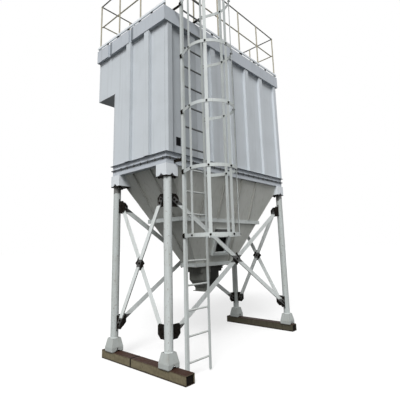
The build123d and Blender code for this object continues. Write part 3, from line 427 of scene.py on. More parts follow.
class Finish(Enum):
    """The plant's finishes, each a steel paint, scale or zinc plate of its own."""

    HOUSING = SPRAYED
    # The front wall, with a painted shadow of the ladder and its cage beside the ladder, and fainter
    # painted shade over the corner fold
    FRONT = replace(SPRAYED, name="alkyd_enamel_painted_ladder_shadow",
                    marks=(Band("X", -1.514, -0.93, "#93989C", 0.5, ragged=0.01, soft=0.012),
                           Band("X", -1.60, -1.514, "#93989C", 0.25, ragged=0.01, soft=0.004)))
    # The end walls, with painted shade in the corners beside their ribs
    END = replace(SPRAYED, name="alkyd_enamel_painted_rib_shade",
                  marks=(Band("Y", -0.156, -0.132, "#7E8488", 0.3, ragged=0.004),
                         Band("Y", 0.298, 0.322, "#7E8488", 0.3, ragged=0.004)))
    # The plenum's underside, a darker grey that is painted shade
    UNDERSIDE = SPRAYED.tinted("underside_grey_painted_shade", "#A0A5A9", "#94999C", "#84888A")
    CAP = SPRAYED.tinted("alkyd_enamel_clean_grey", "#DCE1E5", "#D0D5D9", "#BDC1C4")
    FASCIA = SPRAYED.tinted("alkyd_enamel_mid_grey", "#C0C6CD", "#B3B9BE", "#9A9EA2")
    # Darker grey for the strips at the fascia joints, painted shade of the recessed joints
    JOINT = SPRAYED.tinted("shaded_enamel_joint", "#7F868D", "#757B81", "#686C70")
    TOE_RAIL = SPRAYED.tinted("alkyd_enamel_white_grey", "#E9EEF2", "#DDE2E5", "#C3C7C9")
    FRAME = BRUSHED
    LEG = replace(BRUSHED, name="brushed_enamel_leg", speck_level=0.60)
    # The three far legs: a darker copy of the leg paint as painted shade, with a painted shadow
    # under the caps
    LEG_FAR = BRUSHED.tinted(
        "brushed_enamel_leg_painted_shade", "#B7BDBC", "#ABAFAA", "#8E8C83", speck_level=0.60,
        marks=(Band("Z", 2.38, 2.50, "#2B241F", 0.75, ragged=0.25),))
    SHOE = BRUSHED.tinted(
        "brushed_enamel_shoe", "#A9AEAC", "#9C9F9A", "#8E8C83",
        marks=(Band("Z", 0.10, 0.122, "#2A211B", 0.85),))
    BRACE = BRUSHED.tinted(
        "brushed_enamel_brace", "#DEE3E2", "#D2D6D2", "#A9A8A0",
        marks=(Band("Z", 0.0, 0.578, "#171310"), Band("Z", 1.292, 1.396, "#171310"),
               Band("Z", 2.112, 3.0, "#171310")))
    # The rungs, darker above the ring beam as painted shade on their undersides
    RUNG = replace(BRUSHED, name="brushed_enamel_rung_painted_shade", colour="#BDC1BF",
                   marks=(Band("Z", 2.7, 8.0, "#3F4244", 0.9),))
    # The inlet collar, near black along its upper edge as painted shade of the dark opening
    INLET = replace(BRUSHED, name="brushed_enamel_collar_painted_shade",
                    marks=(Band("Z", 1.775, 1.822, "#0F0E0D", 0.95, ragged=0.01),))
    HOPPER = DUSTY
    # The hopper's ribs, a darker copy of the dusty hopper paint as painted shade on their lit sides
    HOPPER_RIB = DUSTY.tinted("dusty_enamel_rib_painted_shade", "#A6A7A2", "#989992", "#82827A")
    SCALE = ROLLED
    SKID = PRIMED
    # The far skid, a darker copy of the skid primer as painted shade
    SKID_FAR = PRIMED.tinted(
        "weathered_primer_olive_painted_shade", "#4C483B", "#403C30", "#2D281E", top_colour="#2E1810")
    GATE = CAKED
    RAIL = RAILED
    HANDRAIL = RAILED.tinted("worn_dark_handrail", "#46463F", "#3D3C36", "#302E29")
    # Sooty paint on the edges of the bolted flanges, darkened further as painted shade under the
    # lips
    EDGE = PaintedSteel(
        "sooty_flange_edge_and_painted_shade", "#4A4D50", "#3E4042", "#2C2D2D",
        patch_size_mm=120.0, streak_width_mm=14.0, streak_length_mm=40.0, speck_share=0.5,
        speck_level=0.62, edge_share=0.0, roughness=0.8, specular=0.1, dent_depth=0.02)
    # Blackened sheet of the small blank plate
    PLATE = PaintedSteel(
        "black_lacquered_sheet", "#0E0F11", "#0B0C0D", "#16171A",
        patch_size_mm=40.0, streak_width_mm=6.0, streak_length_mm=60.0, speck_share=0.0,
        edge_share=0.2, roughness=0.78, specular=0.1, dent_depth=0.02)
    # Joint sealant, dark with dust
    SEALANT = PaintedSteel(
        "aged_joint_sealant", "#44474A", "#3A3C3E", "#2F3031",
        patch_size_mm=60.0, streak_width_mm=12.0, streak_length_mm=80.0, speck_share=0.0,
        edge_share=0.0, roughness=0.8, dent_depth=0.02)
    # Dull zinc plate on bolts, browned by rust
    ZINC = PaintedSteel(
        "rusted_zinc_plate", "#5A554C", "#494339", "#2F2822", rust="#3C2417",
        patch_size_mm=30.0, streak_width_mm=8.0, streak_length_mm=30.0, speck_size_mm=10.0,
        speck_level=0.55, speck_share=0.7, edge_share=0.2, roughness=0.6, specular=0.2,
        dent_size_mm=20.0, dent_depth=0.1)


def paint(finish: Finish) -> Material:
    """The material of a finish, made when first asked for."""
    return bpy.data.materials.get(finish.value.name) or finish.value.build()


# Shapes

def turn_to(direction: Vector) -> Matrix:
    """The turn that takes +Z to a direction."""
    return UP.rotation_difference(direction.normalized()).to_matrix().to_4x4()


@dataclass(frozen=True)
class BoltSize:
    """A hexagon bolt's sizes, in metres."""

    across_flats: float
    head: float
    washer_radius: float
    washer: float
    crown: float = 0.93

    def add(self, bm: BMesh, place: Vector, direction: Vector, twist: float) -> None:
        """Add one bolt head on its washer.

        Args:
            bm: The bmesh that the bolt is added to.
            place: The point on the surface that the washer lies on.
            direction: Away from the surface.
            twist: How far the head is turned about its own axis.
        """
        washer = bmesh.ops.create_cone(
            bm, cap_ends=True, segments=12, radius1=self.washer_radius, radius2=self.washer_radius,
            depth=self.washer)["verts"]
        bmesh.ops.translate(bm, vec=(0, 0, self.washer / 2), verts=washer)
        corner = self.across_flats / math.sqrt(3)
        head = bmesh.ops.create_cone(
            bm, cap_ends=True, segments=6, radius1=corner, radius2=corner * self.crown,
            depth=self.head)["verts"]
        bmesh.ops.rotate(bm, cent=(0, 0, 0), matrix=Matrix.Rotation(twist, 3, "Z"), verts=head)
        bmesh.ops.translate(bm, vec=(0, 0, self.washer + self.head / 2), verts=head)
        placed = Matrix.Translation(place) @ turn_to(direction)
        bmesh.ops.transform(bm, matrix=placed, verts=washer + head)


@dataclass
class SubAssembly:
    """Common ground of the sub-assemblies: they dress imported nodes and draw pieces.

    The piece being drawn is the bmesh bm, in place in the plant's own frame. A weld bead swells and
    narrows along its length, as hand welding leaves it.
    """

    nodes: dict[str, Object]
    bm: Optional[BMesh] = None
    weld_swell: float = 0.22
    weld_ripple: float = 911.0
    weld_shift: float = 37.0
    weld_step: float = 9.0

    def dress(self, finish: Finish, *names: str) -> None:
        """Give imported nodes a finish.

        Args:
            finish: The finish.
            names: The nodes that take it.
        """
        for name in names:
            for slot in self.nodes[name].material_slots:
                slot.material = paint(finish)
            LOG.info("node %s: %s", name, finish.value.name)

    def piece(self, name: str, finish: Finish, slot: str, draw: Callable[[], None],
              smooth: bool = False) -> Object:
        """Make one piece that rides on the plant.

        Args:
            name: The piece's name.
            finish: Its finish.
            slot: A material slot name, which is not used.
            draw: Adds the shape to the empty bmesh.
            smooth: Whether its faces are shaded smooth.

        Returns:
            The new object.
        """
        self.bm = bmesh.new()
        draw()
        for face in self.bm.faces:
            face.smooth = smooth
        mesh = bpy.data.meshes.new(name)
        self.bm.to_mesh(mesh)
        self.bm.free()
        mesh.materials.append(paint(finish))
        piece = bpy.data.objects.new(name, mesh)
        bpy.context.scene.collection.objects.link(piece)
        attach(piece, "root")
        LOG.info("piece %s: %d faces", name, len(mesh.polygons))
        return piece

    def solids(self, name: str) -> list[Box]:
        """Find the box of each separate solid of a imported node.

        Args:
            name: The node.

        Returns:
            The lowest and highest corner of each solid.
        """
        node = self.nodes[name]
        packed = bmesh.new()
        packed.from_mesh(node.data)
        packed.transform(node.matrix_world)
        bmesh.ops.remove_doubles(packed, verts=packed.verts[:], dist=MERGE_DISTANCE)
        unseen = set(packed.verts)
        boxes = []
        while unseen:
            waiting = [unseen.pop()]
            found = []
            while waiting:
                vert = waiting.pop()
                found.append(vert.co.copy())
                joined = {edge.other_vert(vert) for edge in vert.link_edges} & unseen
                unseen -= joined
                waiting.extend(joined)
            boxes.append((Vector([min(co[axis] for co in found) for axis in range(3)]),
                          Vector([max(co[axis] for co in found) for axis in range(3)])))
        packed.free()
        return boxes

    def add_block(self, low: Sequence[float], high: Sequence[float], bevel: float = 0.0) -> None:
        """Add a block between two corners.

        Args:
            low: Its lowest corner.
            high: Its highest corner.
            bevel: The width of the bevel on its edges, or nothing for sharp edges.
        """
        verts = bmesh.ops.create_cube(self.bm, size=1.0)["verts"]
        bmesh.ops.scale(self.bm, vec=[b - a for a, b in zip(low, high)], verts=verts)
        bmesh.ops.translate(self.bm, vec=[(a + b) / 2 for a, b in zip(low, high)], verts=verts)
        if bevel > 0:
            edges = list({edge for vert in verts for edge in vert.link_edges})
            bmesh.ops.bevel(self.bm, geom=edges, offset=bevel, segments=2, profile=0.5,
                            affect="EDGES", material=-1)

    def add_bar(self, outline: Sequence[Vector], run: Vector) -> None:
        """Add a bar or sheet, extruded from its flat outline.

        Args:
            outline: The outline's corners in order.
            run: From this end to the other.
        """
        face = self.bm.faces.new([self.bm.verts.new(place) for place in outline])
        grown = bmesh.ops.extrude_face_region(self.bm, geom=[face])["geom"]
        ended = [part for part in grown if isinstance(part, bmesh.types.BMVert)]
        bmesh.ops.translate(self.bm, vec=run, verts=ended)
        bmesh.ops.recalc_face_normals(self.bm, faces=self.bm.faces[:])

    def add_collar(self, place: Vector, foot: float, head: float, height: float) -> None:
        """Add an upright fillet round a tube.

        Args:
            place: The middle of the collar's foot.
            foot: Its radius at the foot.
            head: Its radius at the head.
            height: Its height.
        """
        verts = bmesh.ops.create_cone(
            self.bm, cap_ends=True, segments=20, radius1=foot, radius2=head, depth=height)["verts"]
        bmesh.ops.translate(self.bm, vec=place + UP * (height / 2), verts=verts)

    def add_weld(self, start: Vector, end: Vector, radius: float) -> None:
        """Add a straight, slightly lumpy weld bead.

        Args:
            start: One end of the bead's line.
            end: The other end.
            radius: Half the bead's width.
        """
        run = end - start
        bead = bmesh.new()
        bmesh.ops.create_cone(
            bead, cap_ends=True, segments=6, radius1=radius, radius2=radius, depth=run.length)
        sides = [edge for edge in bead.edges
                 if abs(edge.verts[0].co.z - edge.verts[1].co.z) > run.length / 2]
        cuts = max(1, int(run.length / (radius * self.weld_step)))
        bmesh.ops.subdivide_edges(bead, edges=sides, cuts=cuts)
        for vert in bead.verts:
            wave = math.sin(vert.co.z * self.weld_ripple + run.length * self.weld_shift)
            swell = 1.0 + self.weld_swell * wave
            vert.co.x *= swell
            vert.co.y *= swell
        placed = Matrix.Translation((start + end) / 2) @ turn_to(run)
        bmesh.ops.transform(bead, matrix=placed, verts=bead.verts[:])
        carrier = bpy.data.meshes.new("carrier")
        bead.to_mesh(carrier)
        bead.free()
        self.bm.from_mesh(carrier)
        bpy.data.meshes.remove(carrier)


@dataclass(frozen=True)
class FoldedWall:
    """A wall of folded sheet with nearly square ribs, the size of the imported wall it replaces."""

    node: str
    axis: int
    side: int
    centres: tuple[float, ...]
    finish: Finish
    corners: bool = False
    depth: float = 45 * MM
    sheet: float = 6 * MM
    half_face: float = 56 * MM
    run: float = 7 * MM
    corner_run: float = 18 * MM
    corner_face: float = 85 * MM

    def section(self, start: float, end: float) -> list[tuple[float, float]]:
        """Trace the folded sheet.

        Args:
            start: Where the wall starts along its own axis.
            end: Where it ends.

        Returns:
            A closed outline, as the way along the wall and the way out from its recessed plane.
        """
        foot = self.half_face + self.run
        corner = ((self.corner_run, self.depth), (self.corner_run + self.corner_face, self.depth),
                  (self.corner_run + self.corner_face + self.run, 0.0)) if self.corners else ()
        outer = [(start, 0.0)] + [(start + inward, out) for inward, out in corner]
        for centre in self.centres:
            outer += [(centre - foot, 0.0), (centre - self.half_face, self.depth),
                      (centre + self.half_face, self.depth), (centre + foot, 0.0)]
        outer += [(end - inward, out) for inward, out in reversed(corner)] + [(end, 0.0)]
        return outer + [(along, out - self.sheet) for along, out in reversed(outer)]

    def outline(self) -> tuple[list[Vector], Vector]:
        """Place the section at the wall's foot.

        Returns:
            The outline's corners, and the way from them to the wall's head.
        """
        low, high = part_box(self.node)
        across = 1 - self.axis
        plane = low[across] + self.sheet if self.side > 0 else high[across] - self.sheet
        corners = []
        for along, out in self.section(low[self.axis], high[self.axis]):
            place = Vector((0.0, 0.0, low.z))
            place[self.axis] = along
            place[across] = plane + self.side * out
            corners.append(place)
        return corners, UP * (high.z - low.z)


@dataclass
class Housing(SubAssembly):
    """The ribbed housing, its fascia and the roof."""

    seam_x: float = 0.024
    seam_width: float = 9 * MM
    seam_proud: float = 1.5 * MM
    sealant: float = 5 * MM
    sealant_gap: float = 1 * MM
    sheet: float = 6 * MM
    joint_runs: tuple[float, ...] = (831 * MM, 1421 * MM)
    joint_half: float = 30 * MM
    shade_strip: float = 2 * MM
    shade_strip_width: float = 56 * MM
    shade_strip_bevel: float = 0.5 * MM
    long_ribs: tuple[float, ...] = (-0.994, -0.509, -0.024, 0.461, 0.946)
    end_ribs: tuple[float, ...] = (-0.0815, 0.3725)

    def build(self) -> None:
        """Dress the housing, fold its walls and add its seam, sealant and the strips of painted
        shade at the fascia joints.
        """
        self.dress(Finish.HOUSING, "plenum_sides", "plenum_back", "roof_deck")
        self.dress(Finish.UNDERSIDE, "plenum_floor")
        for wall in (FoldedWall("wall_front", 0, -1, self.long_ribs, Finish.FRONT, True),
                     FoldedWall("wall_back", 0, 1, self.long_ribs, Finish.HOUSING, True),
                     FoldedWall("wall_left", 1, -1, self.end_ribs, Finish.END),
                     FoldedWall("wall_right", 1, 1, self.end_ribs, Finish.END)):
            folded = self.piece(f"folded_{wall.node}", wall.finish, "housing_paint",
                                partial(self.add_bar, *wall.outline()))
            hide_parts(wall.node)
        self.dress(Finish.FASCIA, "fascia_front", "fascia_back", "fascia_left", "fascia_right")
        self.dress(Finish.PLATE, "name_plate")
        self.piece("wall_seam", Finish.SEALANT, "housing_paint", self.draw_seam)
        self.piece("wall_foot_sealant", Finish.SEALANT, "housing_paint", self.draw_sealant, True)
        self.piece("fascia_joint_shade_strips", Finish.JOINT, "housing_paint", self.draw_joints)

    def draw_seam(self) -> None:
        """Draw the thin upright seam down the right edge of the middle rib."""
        low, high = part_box("wall_front")
        half = self.seam_width / 2
        self.add_block((self.seam_x - half, low.y - self.seam_proud, low.z),
                       (self.seam_x + half, low.y + self.seam_proud, high.z))

    def draw_joints(self) -> None:
        """Draw the dark strips in front of the joints in the two end fascias, painted shade of the
        recessed joints.
        """
        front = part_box("fascia_front")[0].y
        for name, side in (("fascia_left", -1), ("fascia_right", 1)):
            low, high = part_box(name)
            face = low.x if side < 0 else high.x
            near, far = sorted((face, face + side * self.shade_strip))
            for run in self.joint_runs:
                end = front + run - self.joint_half
                self.add_block((near, end - self.shade_strip_width, low.z), (far, end, high.z),
                               self.shade_strip_bevel)

    def draw_sealant(self) -> None:
        """Draw the bead of sealant in the corner between the walls and their flange."""
        front_low, front_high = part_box("wall_front")
        left_low, left_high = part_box("wall_left")
        x = left_high.x - self.sheet - self.sealant_gap
        y = front_high.y - self.sheet - self.sealant_gap
        z = front_low.z + self.sealant * 0.5
        for start, end in (((front_low.x, y, z), (front_high.x, y, z)),
                           ((x, left_low.y, z), (x, left_high.y, z))):
            self.add_weld(Vector(start), Vector(end), self.sealant * 0.7)


@dataclass
class RingBeam(SubAssembly):
    """The bolted flanges between the hopper and the housing."""

    bolt: BoltSize = BoltSize(15 * MM, 8 * MM, 9 * MM, 1.6 * MM)
    head_turn: float = 0.7
    nut_turn: float = 0.4
    pitch: float = 150 * MM
    edge: float = 8.5 * MM
    lip: float = 8 * MM
    strip: float = 1.2 * MM
    drip: float = 12.6 * MM

    def build(self) -> None:
        """Dress the flanges and bolt them together."""
        self.dress(Finish.FASCIA, "hopper_flange", "housing_flange")
        self.piece("ring_edges", Finish.EDGE, "dark_steel", self.draw_edges)
        self.piece("ring_bolts", Finish.ZINC, "dark_steel", self.draw_bolts)

    def places(self) -> list[tuple[float, float]]:
        """The plan of the bolts, evenly pitched along the four sides.

        Returns:
            X and Y of each bolt.
        """
        low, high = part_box("hopper_flange")
        edge = self.edge
        found = []
        for start, end, line, along_x in (
                (low.x, high.x, low.y + edge, True), (low.x, high.x, high.y - edge, True),
                (low.y, high.y, low.x + edge, False), (low.y, high.y, high.x - edge, False)):
            count = int((end - start) / self.pitch)
            step = (end - start) / count
            for index in range(count):
                along = start + (index + 0.5) * step
                found.append((along, line) if along_x else (line, along))
        return found

    def draw_edges(self) -> None:
        """Draw the dark edges of the bolted lips and the drip edge under the walls' ribs, partly
        soot and partly painted shade.
        """
        low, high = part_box("hopper_flange")
        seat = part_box("housing_flange")[1].z
        for foot, head, proud in ((high.z - self.lip, high.z + self.lip, self.strip),
                                  (seat - self.lip, seat, self.drip)):
            for near, far in ((low.y - proud, low.y), (high.y, high.y + proud)):
                self.add_block((low.x - proud, near, foot), (high.x + proud, far, head))
            for near, far in ((low.x - proud, low.x), (high.x, high.x + proud)):
                self.add_block((near, low.y, foot), (far, high.y, head))

    def draw_bolts(self) -> None:
        """Draw a head over the joint and a nut under it at each place."""
        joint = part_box("hopper_flange")[1].z
        for index, (x, y) in enumerate(self.places()):
            self.bolt.add(self.bm, Vector((x, y, joint + self.lip)), UP, index * self.head_turn)
            self.bolt.add(self.bm, Vector((x, y, joint - self.lip)), DOWN, index * self.nut_turn)


@dataclass
class Hopper(SubAssembly):
    """The pyramid hopper with its inlet, gate and chute."""

    weld: float = 4.5 * MM
    gate_bolt: BoltSize = BoltSize(17 * MM, 9 * MM, 11 * MM, 2 * MM)
    gate_turn: float = 0.5
    gate_pitch: float = 110 * MM
    gate_inset: float = 14 * MM

    def build(self) -> None:
        """Dress the hopper and add its welds and bolts."""
        self.dress(Finish.HOPPER, "hopper_front", "hopper_back", "hopper_left", "hopper_right")
        self.dress(Finish.HOPPER_RIB, "hopper_ribs")
        self.dress(Finish.FRAME, "hopper_stiffener", "outlet_flange")
        self.dress(Finish.INLET, "inlet_frame")
        self.dress(Finish.GATE, "outlet_plate", "slide_gate", "discharge_chute")
        self.piece("hopper_corner_welds", Finish.HOPPER, "hopper_paint", self.draw_welds, True)
        self.piece("outlet_bolts", Finish.ZINC, "dark_steel", self.draw_outlet_bolts)

    def draw_welds(self) -> None:
        """Draw the welds up the hopper's four corners."""
        low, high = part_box("hopper_left")
        front_low, front_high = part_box("hopper_front")
        middle_y = (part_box("hopper_back")[1].y + front_low.y) / 2
        top_x, top_y = abs(low.x), middle_y - front_low.y
        foot_x, foot_y = abs(high.x), middle_y - front_high.y
        for side in (-1, 1):
            for end in (-1, 1):
                self.add_weld(Vector((side * foot_x, middle_y + end * foot_y, low.z)),
                              Vector((side * top_x, middle_y + end * top_y, high.z)), self.weld)

    def draw_outlet_bolts(self) -> None:
        """Draw the bolts under the outlet plate along its long sides."""
        low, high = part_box("outlet_plate")
        inset = self.gate_inset
        count = int((high.x - low.x) / self.gate_pitch)
        step = (high.x - low.x - 2 * inset) / count
        for y in (low.y + inset, high.y - inset):
            for index in range(count + 1):
                place = Vector((low.x + inset + index * step, y, low.z))
                self.gate_bolt.add(self.bm, place, DOWN, index * self.gate_turn)


@dataclass(frozen=True)
class BraceLine:
    """The line of one brace between its end pins, in the gussets' middle plane."""

    node: str
    facing: Vector
    foot: Vector
    head: Vector


@dataclass
class Frame(SubAssembly):
    """Skids, legs, shoes, corner caps and bracing."""

    bolt: BoltSize = BoltSize(24 * MM, 13 * MM, 17 * MM, 3 * MM)
    head_turn: float = 9.0
    nut_turn: float = 7.0
    flange_turn: float = 5.0
    pin_reach: float = 132 * MM
    pin_rise: float = 96 * MM
    pin_step: float = 29 * MM
    gusset: float = 5 * MM
    bar: float = 6 * MM
    bar_width: float = 75 * MM
    bar_leg: float = 18 * MM
    bar_tail: float = 48 * MM
    weld: float = 7 * MM
    scorch: float = 38 * MM
    leg_room: float = 70 * MM
    flange_inset: float = 30 * MM
    shoe_weld: float = 8 * MM
    shoe_weld_top: float = 1 * MM
    shoe_weld_height: float = 12 * MM
    shoe_weld_sink: float = 4 * MM
    skid_wall: float = 8 * MM
    skid_stop: float = 14 * MM
    skid_stop_plate: float = 4 * MM
    skid_joint_y: float = 0.262
    skid_joint_half: float = 12 * MM
    skid_joint_proud: float = 1.5 * MM

    def build(self) -> None:
        """Dress the frame, draw its braces and add bolts, welds and the stops in the skids."""
        self.dress(Finish.LEG, "leg_front_left")
        self.dress(Finish.LEG_FAR, "leg_back_left", "leg_front_right", "leg_back_right")
        self.dress(Finish.SHOE, "leg_shoes")
        self.dress(Finish.CAP, "leg_caps")
        for node in ("brace_front", "brace_back", "brace_left", "brace_right"):
            bars = self.piece(f"slim_{node}", Finish.BRACE, "frame_paint",
                              partial(self.draw_bars, node))
            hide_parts(node)
        self.dress(Finish.SCALE, "lower_gussets", "upper_gussets", "brace_clamps", "leg_flanges")
        self.dress(Finish.SKID, "skid_left")
        self.dress(Finish.SKID_FAR, "skid_right")
        self.piece("brace_bolts", Finish.SCALE, "dark_steel", self.draw_brace_bolts)
        self.piece("gusset_welds", Finish.SCALE, "dark_steel", self.draw_gusset_welds, True)
        self.piece("flange_bolts", Finish.SCALE, "dark_steel", self.draw_flange_bolts)
        self.piece("shoe_welds", Finish.FRAME, "frame_paint", self.draw_shoe_welds, True)
        self.piece("skid_stops", Finish.SCALE, "dark_steel", self.draw_skid_stops)
        self.piece("skid_joint", Finish.SCALE, "dark_steel", self.draw_skid_joint)

    @staticmethod
    def leg_axes() -> list[Vector]:
        """The middle of each leg's box."""
        boxes = [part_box(f"leg_{end}_{side}")
                 for end in ("front", "back") for side in ("left", "right")]
        return [(low + high) / 2 for low, high in boxes]

    @staticmethod
    def leg_radius() -> float:
        """Half the width of a leg's box."""
        low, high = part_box("leg_front_left")
        return (high.x - low.x) / 2

    def middle(self) -> Vector:
        """The middle of the four legs."""
        legs = self.leg_axes()
        return sum(legs, Vector()) / len(legs)

    def brace_lines(self) -> list[BraceLine]:
        """Find the eight braces' lines from the legs and gussets.

        Returns:
            Two crossed lines for each side of the frame.
        """
        middle = self.middle()
        leg = self.leg_axes()[0]
        half_x, half_y = abs(leg.x - middle.x), abs(leg.y - middle.y)
        low_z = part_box("lower_gussets")[0].z + self.pin_rise
        high_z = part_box("upper_gussets")[1].z - self.pin_rise
        lines = []
        for sign, long_node, end_node in ((-1, "brace_front", "brace_left"),
                                          (1, "brace_back", "brace_right")):
            for node, along, outward, half, offset in (
                    (long_node, Vector((1, 0, 0)), Vector((0, sign, 0)), half_x, half_y),
                    (end_node, Vector((0, 1, 0)), Vector((sign, 0, 0)), half_y, half_x)):
                face = Vector((middle.x, middle.y, 0)) + outward * offset
                for facing in (-1, 1):
                    lean = along * (sign * facing * (half - self.pin_reach))
                    lines.append(BraceLine(node, outward * facing, face - lean + UP * low_z,
                                           face + lean + UP * high_z))
        return lines

    def draw_bars(self, node: str) -> None:
        """Draw angle bars with a wide flat and a narrow lower leg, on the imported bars' lines.

        Args:
            node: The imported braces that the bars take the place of.
        """
        half = self.bar_width / 2
        section = ((-half, 0.0), (half, 0.0), (half, self.bar_leg), (half - self.bar, self.bar_leg),
                   (half - self.bar, self.bar), (-half, self.bar))
        for line in self.brace_lines():
            if line.node != node:
                continue
            run = (line.head - line.foot).normalized()
            down = run.cross(line.facing).normalized()
            if down.z > 0:
                down = -down
            start = line.foot - run * self.bar_tail + line.facing * self.gusset
            outline = [start + down * across + line.facing * out for across, out in section]
            self.add_bar(outline, run * ((line.head - line.foot).length + 2 * self.bar_tail))

    def draw_brace_bolts(self) -> None:
        """Draw a bolt and nut at both ends of every brace and where the braces cross."""
        for line in self.brace_lines():
            run = (line.head - line.foot).normalized() * self.pin_step
            for spot in (line.foot - run, line.foot + run, line.head - run, line.head + run,
                         (line.foot + line.head) / 2):
                self.bolt.add(self.bm, spot + line.facing * (self.gusset + self.bar), line.facing,
                              spot.z * self.head_turn)
                self.bolt.add(self.bm, spot - line.facing * self.gusset, -line.facing,
                              spot.z * self.nut_turn)

    def draw_gusset_welds(self) -> None:
        """Draw the heavy scorched welds between the gussets and the legs."""
        low_foot, low_head = (corner.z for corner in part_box("lower_gussets"))
        high_foot, high_head = (corner.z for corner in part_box("upper_gussets"))
        runs = ((low_foot - self.scorch, low_head), (high_foot, high_head + self.scorch))
        middle = self.middle()
        radius = self.leg_radius()
        for leg in self.leg_axes():
            for inward in (Vector((-math.copysign(radius, leg.x - middle.x), 0, 0)),
                           Vector((0, -math.copysign(radius, leg.y - middle.y), 0))):
                line = Vector((leg.x, leg.y, 0)) + inward
                for foot, head in runs:
                    self.add_weld(line + UP * foot, line + UP * head, self.weld)

    def draw_flange_bolts(self) -> None:
        """Draw the bolts under the corner caps' flanges, where the leg leaves room for them."""
        legs = self.leg_axes()
        inset = self.flange_inset
        for low, high in self.solids("leg_flanges"):
            middle = (low + high) / 2
            leg = min(legs, key=lambda axis: (axis - middle).xy.length)
            for x in (low.x + inset, high.x - inset):
                for y in (low.y + inset, high.y - inset):
                    if math.hypot(x - leg.x, y - leg.y) > self.leg_room + self.bolt.washer_radius:
                        self.bolt.add(self.bm, Vector((x, y, low.z)), DOWN, x * self.flange_turn)

    def draw_shoe_welds(self) -> None:
        """Draw the fillets that close the shoes on the legs."""
        radius = self.leg_radius()
        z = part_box("leg_shoes")[1].z - self.shoe_weld_sink
        for leg in self.leg_axes():
            self.add_collar(Vector((leg.x, leg.y, z)), radius + self.shoe_weld,
                            radius + self.shoe_weld_top, self.shoe_weld_height)

    def draw_skid_stops(self) -> None:
        """Draw the rusted plates a little inside the skids' open ends."""
        wall, plate = self.skid_wall, self.skid_stop_plate
        for name in ("skid_left", "skid_right"):
            low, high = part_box(name)
            for near in (low.y + self.skid_stop, high.y - self.skid_stop - plate):
                self.add_block((low.x + wall, near, low.z + wall),
                               (high.x - wall, near + plate, high.z - wall))

    def draw_skid_joint(self) -> None:
        """Draw the rusted butt joint round the near skid."""
        low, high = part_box("skid_left")
        near, far = (self.skid_joint_y + way * self.skid_joint_half for way in (-1, 1))
        proud = self.skid_joint_proud
        self.add_block((low.x - proud, near, low.z), (low.x, far, high.z + proud))
        self.add_block((high.x, near, low.z), (high.x + proud, far, high.z + proud))
        self.add_block((low.x, near, high.z), (high.x, far, high.z + proud))


@dataclass
class Ladder(SubAssembly):
    """The ladder and its safety cage."""

    bolt: BoltSize = BoltSize(19 * MM, 10 * MM, 14 * MM, 2 * MM)
    nut_turn: float = 2.0
    radius: float = 320 * MM
    plate: float = 5 * MM
    strap_sink: float = 1 * MM
    tab_inset: float = 15 * MM
    clip_length: float = 46 * MM
    clip_height: float = 62 * MM
    clip_plate: float = 4 * MM
    clip_bevel: float = 1 * MM
    strap_angles: tuple[float, ...] = (163, 212, 266, 316, 363)

    def build(self) -> None:
        """Dress the ladder and the cage and add their bolts."""
        self.dress(Finish.FRAME, "ladder_stiles", "cage_hoops_low", "cage_hoops_middle",
                   "cage_hoops_top", "cage_straps")
        self.dress(Finish.RUNG, "ladder_rungs")
        self.dress(Finish.SCALE, "ladder_brackets")
        self.piece("cage_bolts", Finish.SCALE, "dark_steel", self.draw_cage_bolts)

    def draw_cage_bolts(self) -> None:
        """Draw the clips and bolts of the hoops at the stiles, and the bolts of the straps."""
        low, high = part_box("ladder_stiles")
        hoops = [box for name in ("cage_hoops_low", "cage_hoops_middle", "cage_hoops_top")
                 for box in self.solids(name)]
        outer, inner = self.radius + self.plate, self.radius - self.plate - self.strap_sink
        for foot, head in hoops:
            z = (foot.z + head.z) / 2
            for x, side in ((low.x - self.plate, -1), (high.x + self.plate, 1)):
                skin = x + side * self.clip_plate
                self.add_block((min(x, skin), high.y - self.clip_length, z - self.clip_height / 2),
                               (max(x, skin), high.y, z + self.clip_height / 2), self.clip_bevel)
                place = Vector((skin, high.y - self.tab_inset, z))
                self.bolt.add(self.bm, place, Vector((side, 0, 0)), z)
            centre = Vector(((low.x + high.x) / 2, foot.y + self.plate + self.radius, z))
            for angle in self.strap_angles:
                out = Vector((math.cos(math.radians(angle)), math.sin(math.radians(angle)), 0))
                self.bolt.add(self.bm, centre + out * outer, out, z)
                self.bolt.add(self.bm, centre + out * inner, -out, z * self.nut_turn)


@dataclass
class Railing(SubAssembly):
    """The railing round the roof."""

    collar: float = 9 * MM
    collar_top: float = 1 * MM
    collar_height: float = 14 * MM
    toe_board_rise: float = 8 * MM
    toe_board_bevel: float = 4 * MM

    def build(self) -> None:
        """Dress the railing, deepen its toe rails and weld its posts to the fascia."""
        self.dress(Finish.RAIL, "railing_posts", "railing_mid_rails")
        boards = self.piece("toe_boards", Finish.TOE_RAIL, "rail_steel", self.draw_toe_boards)
        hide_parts("railing_toe_rails")
        self.dress(Finish.SCALE, "railing_toe_lugs")
        self.dress(Finish.HANDRAIL, "railing_top_rails")
        self.piece("post_feet", Finish.SCALE, "dark_steel", self.draw_feet, True)

    def draw_toe_boards(self) -> None:
        """Draw the toe rails as upright flat bars with eased edges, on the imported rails' lines."""
        rise = UP * self.toe_board_rise
        for low, high in self.solids("railing_toe_rails"):
            self.add_block(low - rise, high + rise, self.toe_board_bevel)

    def draw_feet(self) -> None:
        """Draw the dark weld round the foot of each post."""
        for low, high in self.solids("railing_posts"):
            radius = (high.x - low.x) / 2
            foot = Vector(((low.x + high.x) / 2, (low.y + high.y) / 2, low.z))
            self.add_collar(foot, radius + self.collar, radius + self.collar_top,
                            self.collar_height)


